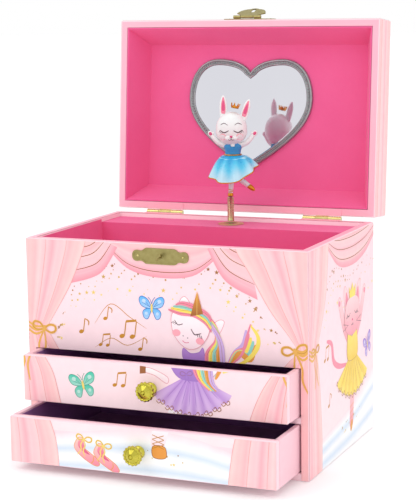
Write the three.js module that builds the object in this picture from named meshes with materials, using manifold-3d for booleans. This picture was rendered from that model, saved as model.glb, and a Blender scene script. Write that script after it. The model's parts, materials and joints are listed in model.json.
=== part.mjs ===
// Musical jewellery box: a papered board case with two drawers, a hinged lid with a heart
// mirror, and a rabbit dancer on a sprung stem that a clockwork movement turns.
// Millimetres, +Z up. The case stands on z = 0, centred on x = 0 and y = 0, front at -Y.
import * as THREE from 'three';
import { mergeVertices } from 'three/addons/utils/BufferGeometryUtils.js';
import Module from 'manifold-3d';

const wasm = await Module();
wasm.setup();

// ---------------------------------------------------------------- driving sizes
const boxWidth = 200;
const boxDepth = 139;
const compartmentDepth = 70.7;
const lidDepth = 26.5;
const wall = 5.2;
const glueLine = 0.2;
const turnedGap = 0.3;

const basePanel = 5;
const shelfPanel = 4.4;
const floorPanel = 4;
const drawerHeight = 31;
const drawerBoard = 3.4;
const drawerFrontBoard = 5;
const drawerBottom = 2;
const drawerSideClearance = 1.5;
const drawerLiftClearance = 0.6;
const drawerBackClearance = 6;
const upperDrawerPull = 20.7;
const lowerDrawerPull = 40.8;

const deckDrop = 3;
const deckBoard = 3;
const deckDepth = 31;
const liningThickness = 0.6;
const liningBelowRim = 1;

const lidOpenAngle = THREE.MathUtils.degToRad(94.9);
const lidRimGap = 1;
const lidTopBoard = 3;
const trayThickness = 0.8;
const traySideInset = 8.5;
const trayEndInset = 10.7;

const hingeSpacing = 122.5;
const hingeLength = 28.5;
const hingeBehindBack = 2.2;
const leafThickness = 0.4;
const knuckleRadius = 1.85;
const hingePinRadius = 0.8;
const pinClearance = 0.08;

const mirrorOffset = -4;
const mirrorTowardsHinge = -1.2;
const heartMargin = 11.5;
const heartProportion = 0.5915;
const heartNotchShare = 0.121;
const heartShoulderShare = 0.36;
const mirrorBand = 4.2;
const mirrorFrameThickness = 2;
const mirrorGlassThickness = 1;

const latchOffset = -1;
const latchPlateWidth = 40;
const latchPlateHeight = 10.5;
const latchPlateThickness = 0.7;
const latchBelowRim = 8;
const haspWidth = 22;
const studSlotReach = 3;
const studSlotPlay = 0.4;
const haspBelowSlot = 2.2;
const haspRestAngle = THREE.MathUtils.degToRad(155);
const haspPinRadius = 0.6;
const haspBarrelRadius = 1.1;
const studNeckRadius = 1.1;
const studHeadDepth = 1.4;
const studHeadHalfLength = 2.5;
const studRestAngle = THREE.MathUtils.degToRad(45);

const keyHubRadius = 3.4;
const keyHubLength = 7.5;
const keyWingThickness = 1.8;
const keyClearOfBack = 2.5;

const knobRadius = 7;
const knobReach = 13.5;

const spindleFromBack = 14.3;
const spindleRadius = 1.2;
const escutcheonRadius = 9.2;
const deckHoleRadius = 4.5;
const cylinderRadius = 6.3;
const cylinderLength = 20;
const cylinderPinHeight = 0.6;
const combTeeth = 18;
const barrelRadius = 12;
const crownTeeth = 24;
const crownPinionTeeth = 8;
const crownRadius = 8.5;
const wheelTeeth = 36;
const flyPinionTeeth = 9;
const gearModule = 0.5;
const arborRadius = 1.7;
const runningClearance = 0.08;
const barrelGap = 0.7;
const crownToothHalfWidth = 0.4;
const crownToothHalfLength = 1.5;
const bedLeft = -26;
const bedRight = 20;
const combBack = -24;
const combRoot = -14;
const combLugWidth = 8.5;
const combThickness = 1.2;
const combPinGap = 0.25;
const cylinderPinRows = 9;
const cylinderPinsPerRow = 4;
const cylinderPinHalfWidth = 0.25;
const vaneHalfWidth = 3.6;
const vaneHalfThickness = 0.4;

const stemRadius = 2.4;
const stemBore = 1.2;
const stemCoreRadius = 1;
const stemTop = 16;
const foldAboveDeck = 3.6;
const stemBelowFold = 1.5;
const figureTurn = THREE.MathUtils.degToRad(20);
const headRadius = 10.7;
const skirtRadius = 16.4;
const skirtTilt = THREE.MathUtils.degToRad(10);

// ---------------------------------------------------------------- worked-out places
const halfWidth = boxWidth / 2;
const halfDepth = boxDepth / 2;
const innerHalfWidth = halfWidth - wall;
const innerHalfDepth = halfDepth - wall;

const lowerDrawerFloor = basePanel + drawerLiftClearance;
const shelfBottom = lowerDrawerFloor + drawerHeight + drawerLiftClearance;
const upperDrawerFloor = shelfBottom + shelfPanel + drawerLiftClearance;
const floorBottom = upperDrawerFloor + drawerHeight + drawerLiftClearance;
const floorTop = floorBottom + floorPanel;
const boxHeight = floorTop + compartmentDepth;
const deckTop = boxHeight - deckDrop;
const deckFront = innerHalfDepth - deckDepth;

const hingeY = halfDepth + hingeBehindBack;
const hingeZ = boxHeight + lidRimGap / 2;
const lidRim = boxHeight + lidRimGap;
const lidTop = lidRim + lidDepth;
const lidCeiling = lidTop - lidTopBoard;
const trayDepth = lidDepth - lidTopBoard - trayThickness - turnedGap;
const trayFlatHalfDepth = innerHalfDepth - turnedGap - trayThickness - trayEndInset;
const heartHeight = 2 * (trayFlatHalfDepth - heartMargin);

const spindleY = innerHalfDepth - spindleFromBack;
const foldZ = deckTop + foldAboveDeck;
// The folded stem lies over the escutcheon, and the stud's head turns in front of the closed hasp.
const escutcheonHeight = foldAboveDeck - stemRadius - glueLine * 2;
const studHeadBack = latchPlateThickness + haspBarrelRadius * 2 + turnedGap * 1.5;

// ---------------------------------------------------------------- colours and finishes
const paper = new THREE.MeshStandardMaterial({ color: 0xfbd3da, roughness: 0.55, metalness: 0 });
const rimPaper = new THREE.MeshStandardMaterial({ color: 0xffc2d2, roughness: 0.6, metalness: 0 });
const felt = new THREE.MeshStandardMaterial({ color: 0xe2558c, roughness: 0.9, metalness: 0 });
const drawerPaper = new THREE.MeshStandardMaterial({ color: 0xf6c6d0, roughness: 0.65, metalness: 0 });
const brass = new THREE.MeshStandardMaterial({ color: 0xb9a05a, roughness: 0.3, metalness: 1 });
const oldBrass = new THREE.MeshStandardMaterial({ color: 0xa0965f, roughness: 0.4, metalness: 1 });
const steel = new THREE.MeshStandardMaterial({ color: 0xb8bcc0, roughness: 0.3, metalness: 1 });
const silver = new THREE.MeshStandardMaterial({ color: 0xa8adb2, roughness: 0.35, metalness: 1 });
const mirror = new THREE.MeshStandardMaterial({ color: 0xdadade, roughness: 0.03, metalness: 1 });
const porcelain = new THREE.MeshStandardMaterial({ color: 0xeeeeea, roughness: 0.35, metalness: 0 });
const blueDress = new THREE.MeshStandardMaterial({ color: 0x1496cd, roughness: 0.4, metalness: 0 });
const paleSkirt = new THREE.MeshStandardMaterial({ color: 0x8ed6ee, roughness: 0.4, metalness: 0 });
const goldPaint = new THREE.MeshStandardMaterial({ color: 0xd08a2c, roughness: 0.35, metalness: 0.6 });

// ---------------------------------------------------------------- shape helpers
function toSolid(geometry) {
  const bare = geometry.clone();
  bare.deleteAttribute('normal');
  bare.deleteAttribute('uv');
  const merged = mergeVertices(bare, 1e-4);
  return new wasm.Manifold(new wasm.Mesh({
    numProp: 3,
    vertProperties: new Float32Array(merged.attributes.position.array),
    triVerts: new Uint32Array(merged.index.array),
  }));
}

function toGeometry(solid) {
  const mesh = solid.getMesh();
  const geometry = new THREE.BufferGeometry();
  geometry.setAttribute('position', new THREE.BufferAttribute(mesh.vertProperties, 3));
  geometry.setIndex(new THREE.BufferAttribute(mesh.triVerts, 1));
  geometry.computeVertexNormals();
  return geometry;
}

function join(...geometries) {
  return toGeometry(geometries.map(toSolid).reduce((whole, next) => whole.add(next)));
}

function cut(geometry, ...tools) {
  return toGeometry(tools.map(toSolid).reduce((whole, tool) => whole.subtract(tool), toSolid(geometry)));
}

function block(x0, x1, y0, y1, z0, z1) {
  const geometry = new THREE.BoxGeometry(x1 - x0, y1 - y0, z1 - z0);
  return geometry.translate((x0 + x1) / 2, (y0 + y1) / 2, (z0 + z1) / 2);
}

function rodX(radius, length, sides = 16) {
  return new THREE.CylinderGeometry(radius, radius, length, sides).rotateZ(Math.PI / 2);
}

function rodY(radius, length, sides = 20) {
  return new THREE.CylinderGeometry(radius, radius, length, sides);
}

function rodZ(radius, length, sides = 16) {
  return new THREE.CylinderGeometry(radius, radius, length, sides).rotateX(Math.PI / 2);
}

function turnedZ(profile, sides = 24) {
  const points = profile.map(([radius, height]) => new THREE.Vector2(radius, height));
  return new THREE.LatheGeometry(points, sides).rotateX(Math.PI / 2);
}

// An outline in x and z, standing in the XZ plane and growing towards +Y from y = 0.
function uprightPlate(outline, thickness, curveSegments = 10) {
  const settings = { depth: thickness, bevelEnabled: false, curveSegments };
  return new THREE.ExtrudeGeometry(outline, settings).rotateX(Math.PI / 2).translate(0, thickness, 0);
}

// An outline in x and y, lying flat and growing towards +Z from z = 0.
function flatPlate(outline, thickness, curveSegments = 10) {
  return new THREE.ExtrudeGeometry(outline, { depth: thickness, bevelEnabled: false, curveSegments });
}

function tubeAlong(points, radius, steps, sides = 8) {
  const section = new THREE.Shape();
  section.absarc(0, 0, radius, 0, Math.PI * 2);
  const path = new THREE.CatmullRomCurve3(points.map((point) => new THREE.Vector3(...point)));
  const settings = { steps, curveSegments: sides, extrudePath: path, bevelEnabled: false };
  return new THREE.ExtrudeGeometry(section, settings);
}

function ball(radiusX, radiusY, radiusZ, x, y, z, around = 16, down = 10) {
  const geometry = new THREE.SphereGeometry(1, around, down).rotateX(Math.PI / 2);
  return geometry.scale(radiusX, radiusY, radiusZ).translate(x, y, z);
}

function gearOutline(teeth, pitchRadius, reach, depth, toothShare = 0.4) {
  const outline = new THREE.Shape();
  const step = (Math.PI * 2) / teeth;
  const corners = [
    [pitchRadius - depth, -toothShare * 0.62],
    [pitchRadius + reach, -toothShare * 0.3],
    [pitchRadius + reach, toothShare * 0.3],
    [pitchRadius - depth, toothShare * 0.62],
  ];
  const points = [];
  for (let tooth = 0; tooth < teeth; tooth += 1) {
    for (const [radius, share] of corners) {
      const angle = (tooth + share) * step;
      points.push(new THREE.Vector2(radius * Math.cos(angle), radius * Math.sin(angle)));
    }
  }
  outline.setFromPoints(points);
  return outline;
}

function addPiece(group, name, geometry, material) {
  const piece = new THREE.Mesh(geometry, material);
  piece.name = name;
  group.add(piece);
  return piece;
}

// ---------------------------------------------------------------- case
function buildCase(root) {
  const betweenSides = innerHalfWidth - glueLine;
  for (const [name, side] of [['side_panel_left', -1], ['side_panel_right', 1]]) {
    const inner = side * innerHalfWidth;
    const outer = side * halfWidth;
    const panel = block(Math.min(inner, outer), Math.max(inner, outer), -halfDepth, halfDepth, 0, boxHeight);
    addPiece(root, name, panel, paper);
  }
  const arborHole = rodY(arborRadius + 2, wall * 3, 20).translate(0, halfDepth - wall / 2, barrelZ);
  const back = block(-betweenSides, betweenSides, innerHalfDepth, halfDepth, 0, boxHeight);
  addPiece(root, 'back_panel', cut(back, arborHole), paper);
  const fascia = block(-betweenSides, betweenSides, -halfDepth, -innerHalfDepth, floorBottom, boxHeight);
  addPiece(root, 'front_fascia', fascia, paper);

  const backOfPanels = innerHalfDepth - glueLine;
  const base = block(-betweenSides, betweenSides, -halfDepth, backOfPanels, 0, basePanel);
  addPiece(root, 'base_panel', base, paper);
  const shelf = block(
    -betweenSides, betweenSides, -halfDepth, backOfPanels, shelfBottom, shelfBottom + shelfPanel,
  );
  addPiece(root, 'drawer_shelf', shelf, paper);
  const floor = block(
    -betweenSides, betweenSides, -innerHalfDepth + glueLine, backOfPanels, floorBottom, floorTop,
  );
  addPiece(root, 'compartment_floor', floor, rimPaper);
}

function buildDeck(root) {
  const between = innerHalfWidth - glueLine;
  const hole = rodZ(deckHoleRadius, deckBoard * 3, 24).translate(0, spindleY, deckTop);
  const top = block(-between, between, deckFront, innerHalfDepth - glueLine, deckTop - deckBoard, deckTop);
  addPiece(root, 'deck_top', cut(top, hole), felt);
  const frontBoard = block(
    -between, between, deckFront, deckFront + deckBoard, floorTop + glueLine, deckTop - deckBoard - glueLine,
  );
  addPiece(root, 'deck_front', frontBoard, felt);

  const outer = {
    x: between,
    y0: -innerHalfDepth + glueLine,
    y1: deckFront - glueLine,
    z: floorTop + glueLine,
  };
  const rim = boxHeight - liningBelowRim;
  const shell = block(-outer.x, outer.x, outer.y0, outer.y1, outer.z, rim);
  const inside = block(
    -outer.x + liningThickness, outer.x - liningThickness,
    outer.y0 + liningThickness, outer.y1 - liningThickness,
    outer.z + liningThickness, rim + 1,
  );
  const overDeck = block(-outer.x - 1, outer.x + 1, outer.y1 - 2 * liningThickness, outer.y1 + 1, deckTop, rim + 1);
  addPiece(root, 'compartment_lining', cut(shell, inside, overDeck), felt);
}

// ---------------------------------------------------------------- drawers
function buildDrawer(root, prefix, floor, pull) {
  const drawer = new THREE.Group();
  drawer.position.set(0, -pull, floor);
  root.add(drawer);
  const half = innerHalfWidth - drawerSideClearance;
  const front = -halfDepth;
  const behindFront = front + drawerFrontBoard + glueLine;
  const back = innerHalfDepth - drawerBackClearance;
  const innerHalf = half - drawerBoard;

  const screwHole = rodY(studNeckRadius, drawerFrontBoard * 3, 12).translate(0, front, drawerHeight / 2);
  const frontBoard = block(-half, half, front, front + drawerFrontBoard, 0, drawerHeight);
  addPiece(drawer, `${prefix}_front`, cut(frontBoard, screwHole), paper);
  const left = block(-half, -innerHalf, behindFront, back, 0, drawerHeight);
  addPiece(drawer, `${prefix}_side_left`, left, drawerPaper);
  const right = block(innerHalf, half, behindFront, back, 0, drawerHeight);
  addPiece(drawer, `${prefix}_side_right`, right, drawerPaper);
  const between = innerHalf - glueLine;
  const rear = block(-between, between, back - drawerBoard, back, 0, drawerHeight);
  addPiece(drawer, `${prefix}_back`, rear, drawerPaper);
  const bottom = block(-between, between, behindFront, back - drawerBoard - glueLine, 0, drawerBottom);
  addPiece(drawer, `${prefix}_bottom`, bottom, drawerPaper);

  const knob = knobGeometry().rotateX(Math.PI / 2).translate(0, front - glueLine, drawerHeight / 2);
  addPiece(drawer, `${prefix}_knob`, knob, brass);
}

// A turned knob along +Z: collar on the front board, waist, wide rim and low dome.
function knobGeometry() {
  const profile = [
    [0, 0],
    [knobRadius * 0.62, 0],
    [knobRadius * 0.62, knobReach * 0.1],
    [knobRadius * 0.36, knobReach * 0.2],
    [knobRadius * 0.36, knobReach * 0.45],
    [knobRadius * 0.8, knobReach * 0.6],
    [knobRadius, knobReach * 0.72],
    [knobRadius * 0.95, knobReach * 0.86],
    [knobRadius * 0.55, knobReach * 0.96],
    [0, knobReach],
  ];
  return turnedZ(profile, 20);
}

// ---------------------------------------------------------------- lid
// Pieces of the lid are laid out as if it were shut, then turned open about the hinge pins.
function lidPiece(lid, name, geometry, material) {
  addPiece(lid, name, geometry.translate(0, -hingeY, -hingeZ), material);
}

function buildLid(root) {
  const lid = new THREE.Group();
  lid.position.set(0, hingeY, hingeZ);
  lid.rotation.x = -lidOpenAngle;
  root.add(lid);

  const railTop = lidCeiling - turnedGap;
  lidPiece(lid, 'lid_top', block(-halfWidth, halfWidth, -halfDepth, halfDepth, lidCeiling, lidTop), paper);
  for (const [name, side] of [['lid_rail_left', -1], ['lid_rail_right', 1]]) {
    const inner = side * innerHalfWidth;
    const outer = side * halfWidth;
    const rail = block(Math.min(inner, outer), Math.max(inner, outer), -halfDepth, halfDepth, lidRim, railTop);
    lidPiece(lid, name, rail, rimPaper);
  }
  const between = innerHalfWidth - turnedGap;
  const frontRail = block(-between, between, -halfDepth, -innerHalfDepth, lidRim, railTop);
  lidPiece(lid, 'lid_rail_front', frontRail, rimPaper);
  const backRail = block(-between, between, innerHalfDepth, halfDepth, lidRim, railTop);
  lidPiece(lid, 'lid_rail_back', backRail, rimPaper);
  lidPiece(lid, 'lid_tray', trayGeometry(), felt);

  const mirrorFace = lidCeiling - turnedGap - trayThickness - turnedGap;
  const frame = mirrorFrameGeometry().translate(0, 0, mirrorFace - mirrorFrameThickness);
  lidPiece(lid, 'mirror_frame', frame, silver);
  const glass = flatPlate(heartOutline(mirrorBand + turnedGap), mirrorGlassThickness)
    .translate(0, 0, mirrorFace - mirrorGlassThickness);
  lidPiece(lid, 'mirror_glass', glass, mirror);
  return lid;
}

// Four-sided form with sloping walls, wide at the rim and narrow at the lid's ceiling.
function slopedBlock(halfX, halfY, insetX, insetY, z0, z1) {
  const form = new THREE.BoxGeometry(2, 2, 1);
  const place = form.attributes.position;
  for (let corner = 0; corner < place.count; corner += 1) {
    const high = place.getZ(corner) > 0;
    const x = place.getX(corner) * (high ? halfX - insetX : halfX);
    const y = place.getY(corner) * (high ? halfY - insetY : halfY);
    place.setXYZ(corner, x, y, high ? z1 : z0);
  }
  return form;
}

// The tray is a thin sheet: its walls run from the rails' inner edge up to the flat ceiling.
function trayGeometry() {
  const halfX = innerHalfWidth - turnedGap;
  const halfY = innerHalfDepth - turnedGap;
  const top = lidCeiling - turnedGap;
  const outside = slopedBlock(halfX, halfY, traySideInset, trayEndInset, lidRim, top);
  const slopeX = traySideInset / trayDepth;
  const slopeY = trayEndInset / trayDepth;
  const below = 2;
  const inside = slopedBlock(
    halfX - trayThickness + slopeX * below,
    halfY - trayThickness + slopeY * below,
    traySideInset + slopeX * below,
    trayEndInset + slopeY * below,
    lidRim - below,
    top - trayThickness,
  );
  return cut(outside, inside);
}

// Heart outline on the lid's ceiling: its tip points to the hinges when the lid is shut.
function heartOutline(inset) {
  const half = heartHeight * heartProportion - inset;
  const top = heartHeight / 2 - inset;
  const notch = heartHeight * (0.5 - heartNotchShare) - inset * 1.3;
  const tip = -heartHeight / 2 + inset * 1.75;
  const side = heartHeight * (0.5 - heartShoulderShare);
  const toY = (reach) => mirrorTowardsHinge - reach;
  const outline = new THREE.Shape();
  const at = (share, reach) => [mirrorOffset + share * half, toY(reach)];
  const lobe = notch + (top - notch) * 0.75;
  const shoulder = side + (top - side) * 0.55;
  const cheek = side - (side - tip) * 0.42;
  const jaw = tip + (side - tip) * 0.39;
  outline.moveTo(...at(0, notch));
  outline.bezierCurveTo(...at(-0.1, lobe), ...at(-0.25, top), ...at(-0.46, top));
  outline.bezierCurveTo(...at(-0.8, top), ...at(-1, shoulder), ...at(-1, side));
  outline.bezierCurveTo(...at(-1, cheek), ...at(-0.66, jaw), ...at(0, tip));
  outline.bezierCurveTo(...at(0.66, jaw), ...at(1, cheek), ...at(1, side));
  outline.bezierCurveTo(...at(1, shoulder), ...at(0.8, top), ...at(0.46, top));
  outline.bezierCurveTo(...at(0.25, top), ...at(0.1, lobe), ...at(0, notch));
  return outline;
}

function mirrorFrameGeometry() {
  const whole = flatPlate(heartOutline(0), mirrorFrameThickness);
  const window = flatPlate(heartOutline(mirrorBand), mirrorFrameThickness * 3);
  return cut(whole, window.translate(0, 0, -mirrorFrameThickness));
}

// ---------------------------------------------------------------- hinges
function knuckle(x, length) {
  const barrel = rodX(knuckleRadius, length);
  const bore = rodX(hingePinRadius + pinClearance, length * 2, 12);
  return cut(barrel, bore).translate(x, 0, 0);
}

// A leaf lies on the edge of its board, from the board's inner side to the barrel.
function leafBlade(x, low, high) {
  const reach = hingeBehindBack + wall - 0.6;
  const blade = block(-hingeLength / 2, hingeLength / 2, -reach, -hingePinRadius - pinClearance, low, high);
  return blade.translate(x, 0, 0);
}

function buildHinges(root, lid) {
  const third = hingeLength / 3;
  const play = 0.2;
  const outerShift = third / 2 + play + (hingeLength / 2 - third / 2 - play) / 2;
  const outerLength = hingeLength / 2 - third / 2 - play;
  for (const [name, side] of [['left', -1], ['right', 1]]) {
    const x = side * hingeSpacing / 2;
    const seat = 0.05 - lidRimGap / 2;
    const relief = rodX(knuckleRadius + play, third + 2 * play).translate(x, 0, 0);
    const bodyBlade = cut(leafBlade(x, seat, seat + leafThickness), relief);
    const bodyLeaf = join(
      bodyBlade,
      knuckle(x - outerShift, outerLength),
      knuckle(x + outerShift, outerLength),
    );
    addPiece(root, `hinge_leaf_case_${name}`, bodyLeaf.translate(0, hingeY, hingeZ), brass);

    const blade = leafBlade(x, -seat - leafThickness, -seat - 0.02);
    const outerReliefs = [-1, 1].map((end) => (
      rodX(knuckleRadius + play, outerLength + 2 * play).translate(x + end * outerShift, 0, 0)
    ));
    const lidLeaf = join(cut(blade, ...outerReliefs), knuckle(x, third));
    addPiece(lid, `hinge_leaf_lid_${name}`, lidLeaf, brass);
    const pin = rodX(hingePinRadius, hingeLength, 12).translate(x, hingeY, hingeZ);
    addPiece(root, `hinge_pin_${name}`, pin, steel);
  }
}

// ---------------------------------------------------------------- latch
// Scalloped plate outline in x and z about its centre: a tall middle, a step and rounded ends.
function latchOutline(width, height) {
  const half = width / 2;
  const rise = height / 2;
  const outline = new THREE.Shape();
  outline.moveTo(-half, 0);
  outline.quadraticCurveTo(-half, rise * 0.72, -half * 0.74, rise * 0.72);
  outline.quadraticCurveTo(-half * 0.6, rise * 0.45, -half * 0.46, rise);
  outline.lineTo(half * 0.46, rise);
  outline.quadraticCurveTo(half * 0.6, rise * 0.45, half * 0.74, rise * 0.72);
  outline.quadraticCurveTo(half, rise * 0.72, half, 0);
  outline.quadraticCurveTo(half, -rise * 0.8, half * 0.72, -rise * 0.8);
  outline.quadraticCurveTo(half * 0.58, -rise * 0.5, half * 0.4, -rise);
  outline.lineTo(-half * 0.4, -rise);
  outline.quadraticCurveTo(-half * 0.58, -rise * 0.5, -half * 0.72, -rise * 0.8);
  outline.quadraticCurveTo(-half, -rise * 0.8, -half, 0);
  return outline;
}

function buildLatch(root, lid) {
  const plateZ = boxHeight - latchBelowRim;
  const plate = uprightPlate(latchOutline(latchPlateWidth, latchPlateHeight), latchPlateThickness, 5);
  const studHole = rodY(studNeckRadius + 0.3, latchPlateThickness * 4, 16);
  const catchPlate = cut(plate, studHole)
    .translate(latchOffset, -halfDepth - latchPlateThickness - glueLine, plateZ);
  addPiece(root, 'catch_plate', catchPlate, oldBrass);

  const stud = new THREE.Group();
  stud.position.set(latchOffset, -halfDepth - glueLine, plateZ);
  stud.rotation.y = studRestAngle;
  root.add(stud);
  const neckLength = studHeadBack + glueLine;
  const neck = rodY(studNeckRadius, neckLength, 12).translate(0, -neckLength / 2, 0);
  const head = block(
    -studNeckRadius, studNeckRadius, -studHeadBack - studHeadDepth, -studHeadBack, -studHeadHalfLength, studHeadHalfLength,
  );
  addPiece(stud, 'turn_stud', join(neck, head), brass);

  const railZ = lidRim + lidDepth * 0.38;
  const plateFront = -halfDepth - latchPlateThickness - turnedGap;
  const haspPlateHeight = latchPlateHeight * 0.9;
  const haspPlate = uprightPlate(latchOutline(latchPlateWidth, haspPlateHeight), latchPlateThickness, 5)
    .translate(latchOffset, plateFront, railZ);
  const pivotZ = railZ - haspPlateHeight / 2 - haspBarrelRadius;
  const pivotY = plateFront - haspBarrelRadius - turnedGap / 2;
  const barrelLength = haspWidth * 0.24;
  const barrelAt = haspWidth * 0.36;
  const barrels = [-1, 1].map((side) => (
    cut(rodX(haspBarrelRadius, barrelLength, 12), rodX(haspPinRadius + pinClearance, barrelLength * 2, 12))
      .translate(latchOffset + side * barrelAt, pivotY, pivotZ)
  ));
  const tabs = [-1, 1].map((side) => {
    const x = latchOffset + side * barrelAt;
    const back = plateFront + latchPlateThickness;
    return cut(
      block(x - barrelLength / 2, x + barrelLength / 2, pivotY, back, pivotZ, railZ - haspPlateHeight * 0.3),
      rodX(haspPinRadius + pinClearance, barrelLength * 2, 12).translate(x, pivotY, pivotZ),
      block(x - barrelLength, x + barrelLength, pivotY - 5, plateFront, pivotZ + haspBarrelRadius * 0.6, railZ),
    );
  });
  lidPiece(lid, 'hasp_plate', join(haspPlate, ...tabs, ...barrels), oldBrass);

  const hasp = new THREE.Group();
  hasp.position.set(latchOffset, pivotY - hingeY, pivotZ - hingeZ);
  hasp.rotation.x = -haspRestAngle;
  lid.add(hasp);
  addPiece(hasp, 'hasp', haspGeometry(pivotZ - plateZ), oldBrass);
  const pin = rodX(haspPinRadius, haspWidth * 0.96, 12);
  addPiece(hasp, 'hasp_pin', pin, steel);
}

// The hasp hangs from its barrel at the origin and bends clear of the plate behind it.
function haspGeometry(studDrop) {
  const bottom = -(studDrop + studSlotReach + haspBelowSlot);
  const half = haspWidth / 2;
  const outline = new THREE.Shape();
  outline.moveTo(-half * 0.42, 0);
  outline.lineTo(half * 0.42, 0);
  outline.quadraticCurveTo(half * 0.5, bottom * 0.3, half, bottom * 0.45);
  outline.quadraticCurveTo(half * 0.9, bottom * 0.85, half * 0.3, bottom * 0.9);
  outline.quadraticCurveTo(0, bottom * 1.05, -half * 0.3, bottom * 0.9);
  outline.quadraticCurveTo(-half * 0.9, bottom * 0.85, -half, bottom * 0.45);
  outline.quadraticCurveTo(-half * 0.5, bottom * 0.3, -half * 0.42, 0);
  const leaf = uprightPlate(outline, latchPlateThickness, 5).translate(0, -haspBarrelRadius, 0);
  const barrel = rodX(haspBarrelRadius, haspWidth * 0.42, 12);
  const bore = rodX(haspPinRadius + pinClearance, haspWidth, 12);
  const slotHalf = studNeckRadius + studSlotPlay;
  const through = haspBarrelRadius * 4;
  const slot = block(-slotHalf, slotHalf, -through, through, -studDrop - studSlotReach, -studDrop + studSlotReach);
  return cut(join(leaf, barrel), bore, slot);
}

// ---------------------------------------------------------------- musical movement
const bedFront = innerHalfDepth - 2.4;
const bedThickness = 2;
const bedMargin = 3;
const bearingArm = 2;
const movementHeadroom = 3.3;
const wheelThickness = 1.4;
const trainGap = 0.8;
const bearingZ = deckTop - deckBoard - movementHeadroom - bearingArm;
const wheelZ = bearingZ - wheelThickness - 1.2;
const cylinderZ = wheelZ - trainGap - cylinderLength;
const barrelZ = cylinderZ - trainGap - barrelRadius;
const crownPitch = (2 * Math.PI * crownRadius) / crownTeeth;
const crownPinionRadius = (crownPitch * crownPinionTeeth) / (2 * Math.PI);
const crownToothReach = 0.5;
const crownToothDepth = 0.75;
const crownFace = spindleY + crownPinionRadius + crownToothDepth;
const pinionZ = barrelZ + crownRadius;
const wheelRadius = (gearModule * wheelTeeth) / 2;
const flyPinionRadius = (gearModule * flyPinionTeeth) / 2;
const flyX = wheelRadius + flyPinionRadius + 0.1;
const flyRadius = 0.7;

function buildMovement(root) {
  const bedBottom = barrelZ - barrelRadius - bedMargin;
  const bed = block(bedLeft, bedRight, bedFront, bedFront + bedThickness, bedBottom, bearingZ + bearingArm);
  const lug = block(
    combBack, combBack + combLugWidth, spindleY + combThickness * 0.75, bedFront + 1,
    cylinderZ + 1, cylinderZ + cylinderLength - 1,
  );
  const arm = block(-5, flyX + 3, spindleY - 4, bedFront + 1, bearingZ, bearingZ + bearingArm);
  const spindleHole = rodZ(spindleRadius + runningClearance, 12, 24).translate(0, spindleY, bearingZ);
  const flyHole = rodZ(flyRadius + runningClearance, 12, 16).translate(flyX, spindleY, bearingZ);
  const arborHole = rodY(arborRadius + runningClearance, 12, 24).translate(0, bedFront, barrelZ);
  addPiece(root, 'movement_bedplate', cut(join(bed, lug, arm), spindleHole, flyHole, arborHole), steel);

  addPiece(root, 'music_comb', combGeometry(), steel);

  const profile = [
    [deckHoleRadius, 0],
    [escutcheonRadius, 0],
    [escutcheonRadius, escutcheonHeight * 0.4],
    [escutcheonRadius * 0.8, escutcheonHeight],
    [deckHoleRadius + 0.6, escutcheonHeight],
    [deckHoleRadius, escutcheonHeight * 0.5],
    [deckHoleRadius, 0],
  ];
  const ring = turnedZ(profile, 28).translate(0, spindleY, deckTop + glueLine);
  addPiece(root, 'spindle_escutcheon', ring, brass);
}

// The comb's teeth point at the pinned cylinder and stop just short of its pins.
function combGeometry() {
  const tip = -(cylinderRadius + cylinderPinHeight + combPinGap);
  const span = cylinderLength - 1;
  const pitch = span / combTeeth;
  const outline = new THREE.Shape();
  outline.moveTo(combBack, 0);
  for (let tooth = 0; tooth < combTeeth; tooth += 1) {
    const low = tooth * pitch;
    outline.lineTo(combRoot, low);
    outline.lineTo(tip, low + pitch * 0.2);
    outline.lineTo(tip, low + pitch * 0.6);
    outline.lineTo(combRoot, low + pitch * 0.8);
  }
  outline.lineTo(combBack, span);
  outline.closePath();
  return uprightPlate(outline, combThickness, 1).translate(0, spindleY - combThickness / 2, cylinderZ + 0.5);
}

function buildWinder(root) {
  const drum = rodY(barrelRadius, bedFront - barrelGap - crownFace, 32);
  const solid = drum.translate(0, (bedFront - barrelGap + crownFace) / 2, 0);
  const teeth = [];
  for (let tooth = 0; tooth < crownTeeth; tooth += 1) {
    const angle = ((tooth + 0.5) * Math.PI * 2) / crownTeeth;
    const tip = crownFace - crownToothDepth - crownToothReach;
    const bar = block(
      -crownToothHalfWidth, crownToothHalfWidth, tip, crownFace + crownToothReach,
      crownRadius - crownToothHalfLength, crownRadius + crownToothHalfLength,
    );
    teeth.push(bar.rotateY(angle));
  }
  addPiece(root, 'spring_barrel', join(solid, ...teeth).translate(0, 0, barrelZ), brass);

  const arborStart = bedFront - 0.4;
  const keyHub = halfDepth + keyClearOfBack;
  const arborEnd = keyHub + 7;
  const arbor = rodY(arborRadius, arborEnd - arborStart, 20)
    .translate(0, (arborEnd + arborStart) / 2, barrelZ);
  addPiece(root, 'winding_arbor', arbor, steel);
  addPiece(root, 'winding_key', keyGeometry().translate(0, keyHub, barrelZ), brass);
}

// A butterfly key: a bored hub, growing to +Y, with two rounded wings behind it.
function keyGeometry() {
  const hub = rodY(keyHubRadius, keyHubLength, 20).translate(0, keyHubLength / 2, 0);
  const wings = new THREE.Shape();
  wings.moveTo(-2.6, 0);
  wings.bezierCurveTo(-6, 0, -12.5, -1, -12.5, 5.5);
  wings.bezierCurveTo(-12.5, 12, -5, 12, -3, 8.5);
  wings.quadraticCurveTo(0, 6.5, 3, 8.5);
  wings.bezierCurveTo(5, 12, 12.5, 12, 12.5, 5.5);
  wings.bezierCurveTo(12.5, -1, 6, 0, 2.6, 0);
  const blade = flatPlate(wings, keyWingThickness, 8).translate(0, keyHubLength * 0.67, -keyWingThickness / 2);
  const bore = rodY(arborRadius + 0.1, keyHubLength * 2, 20);
  return cut(join(hub, blade), bore);
}

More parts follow.
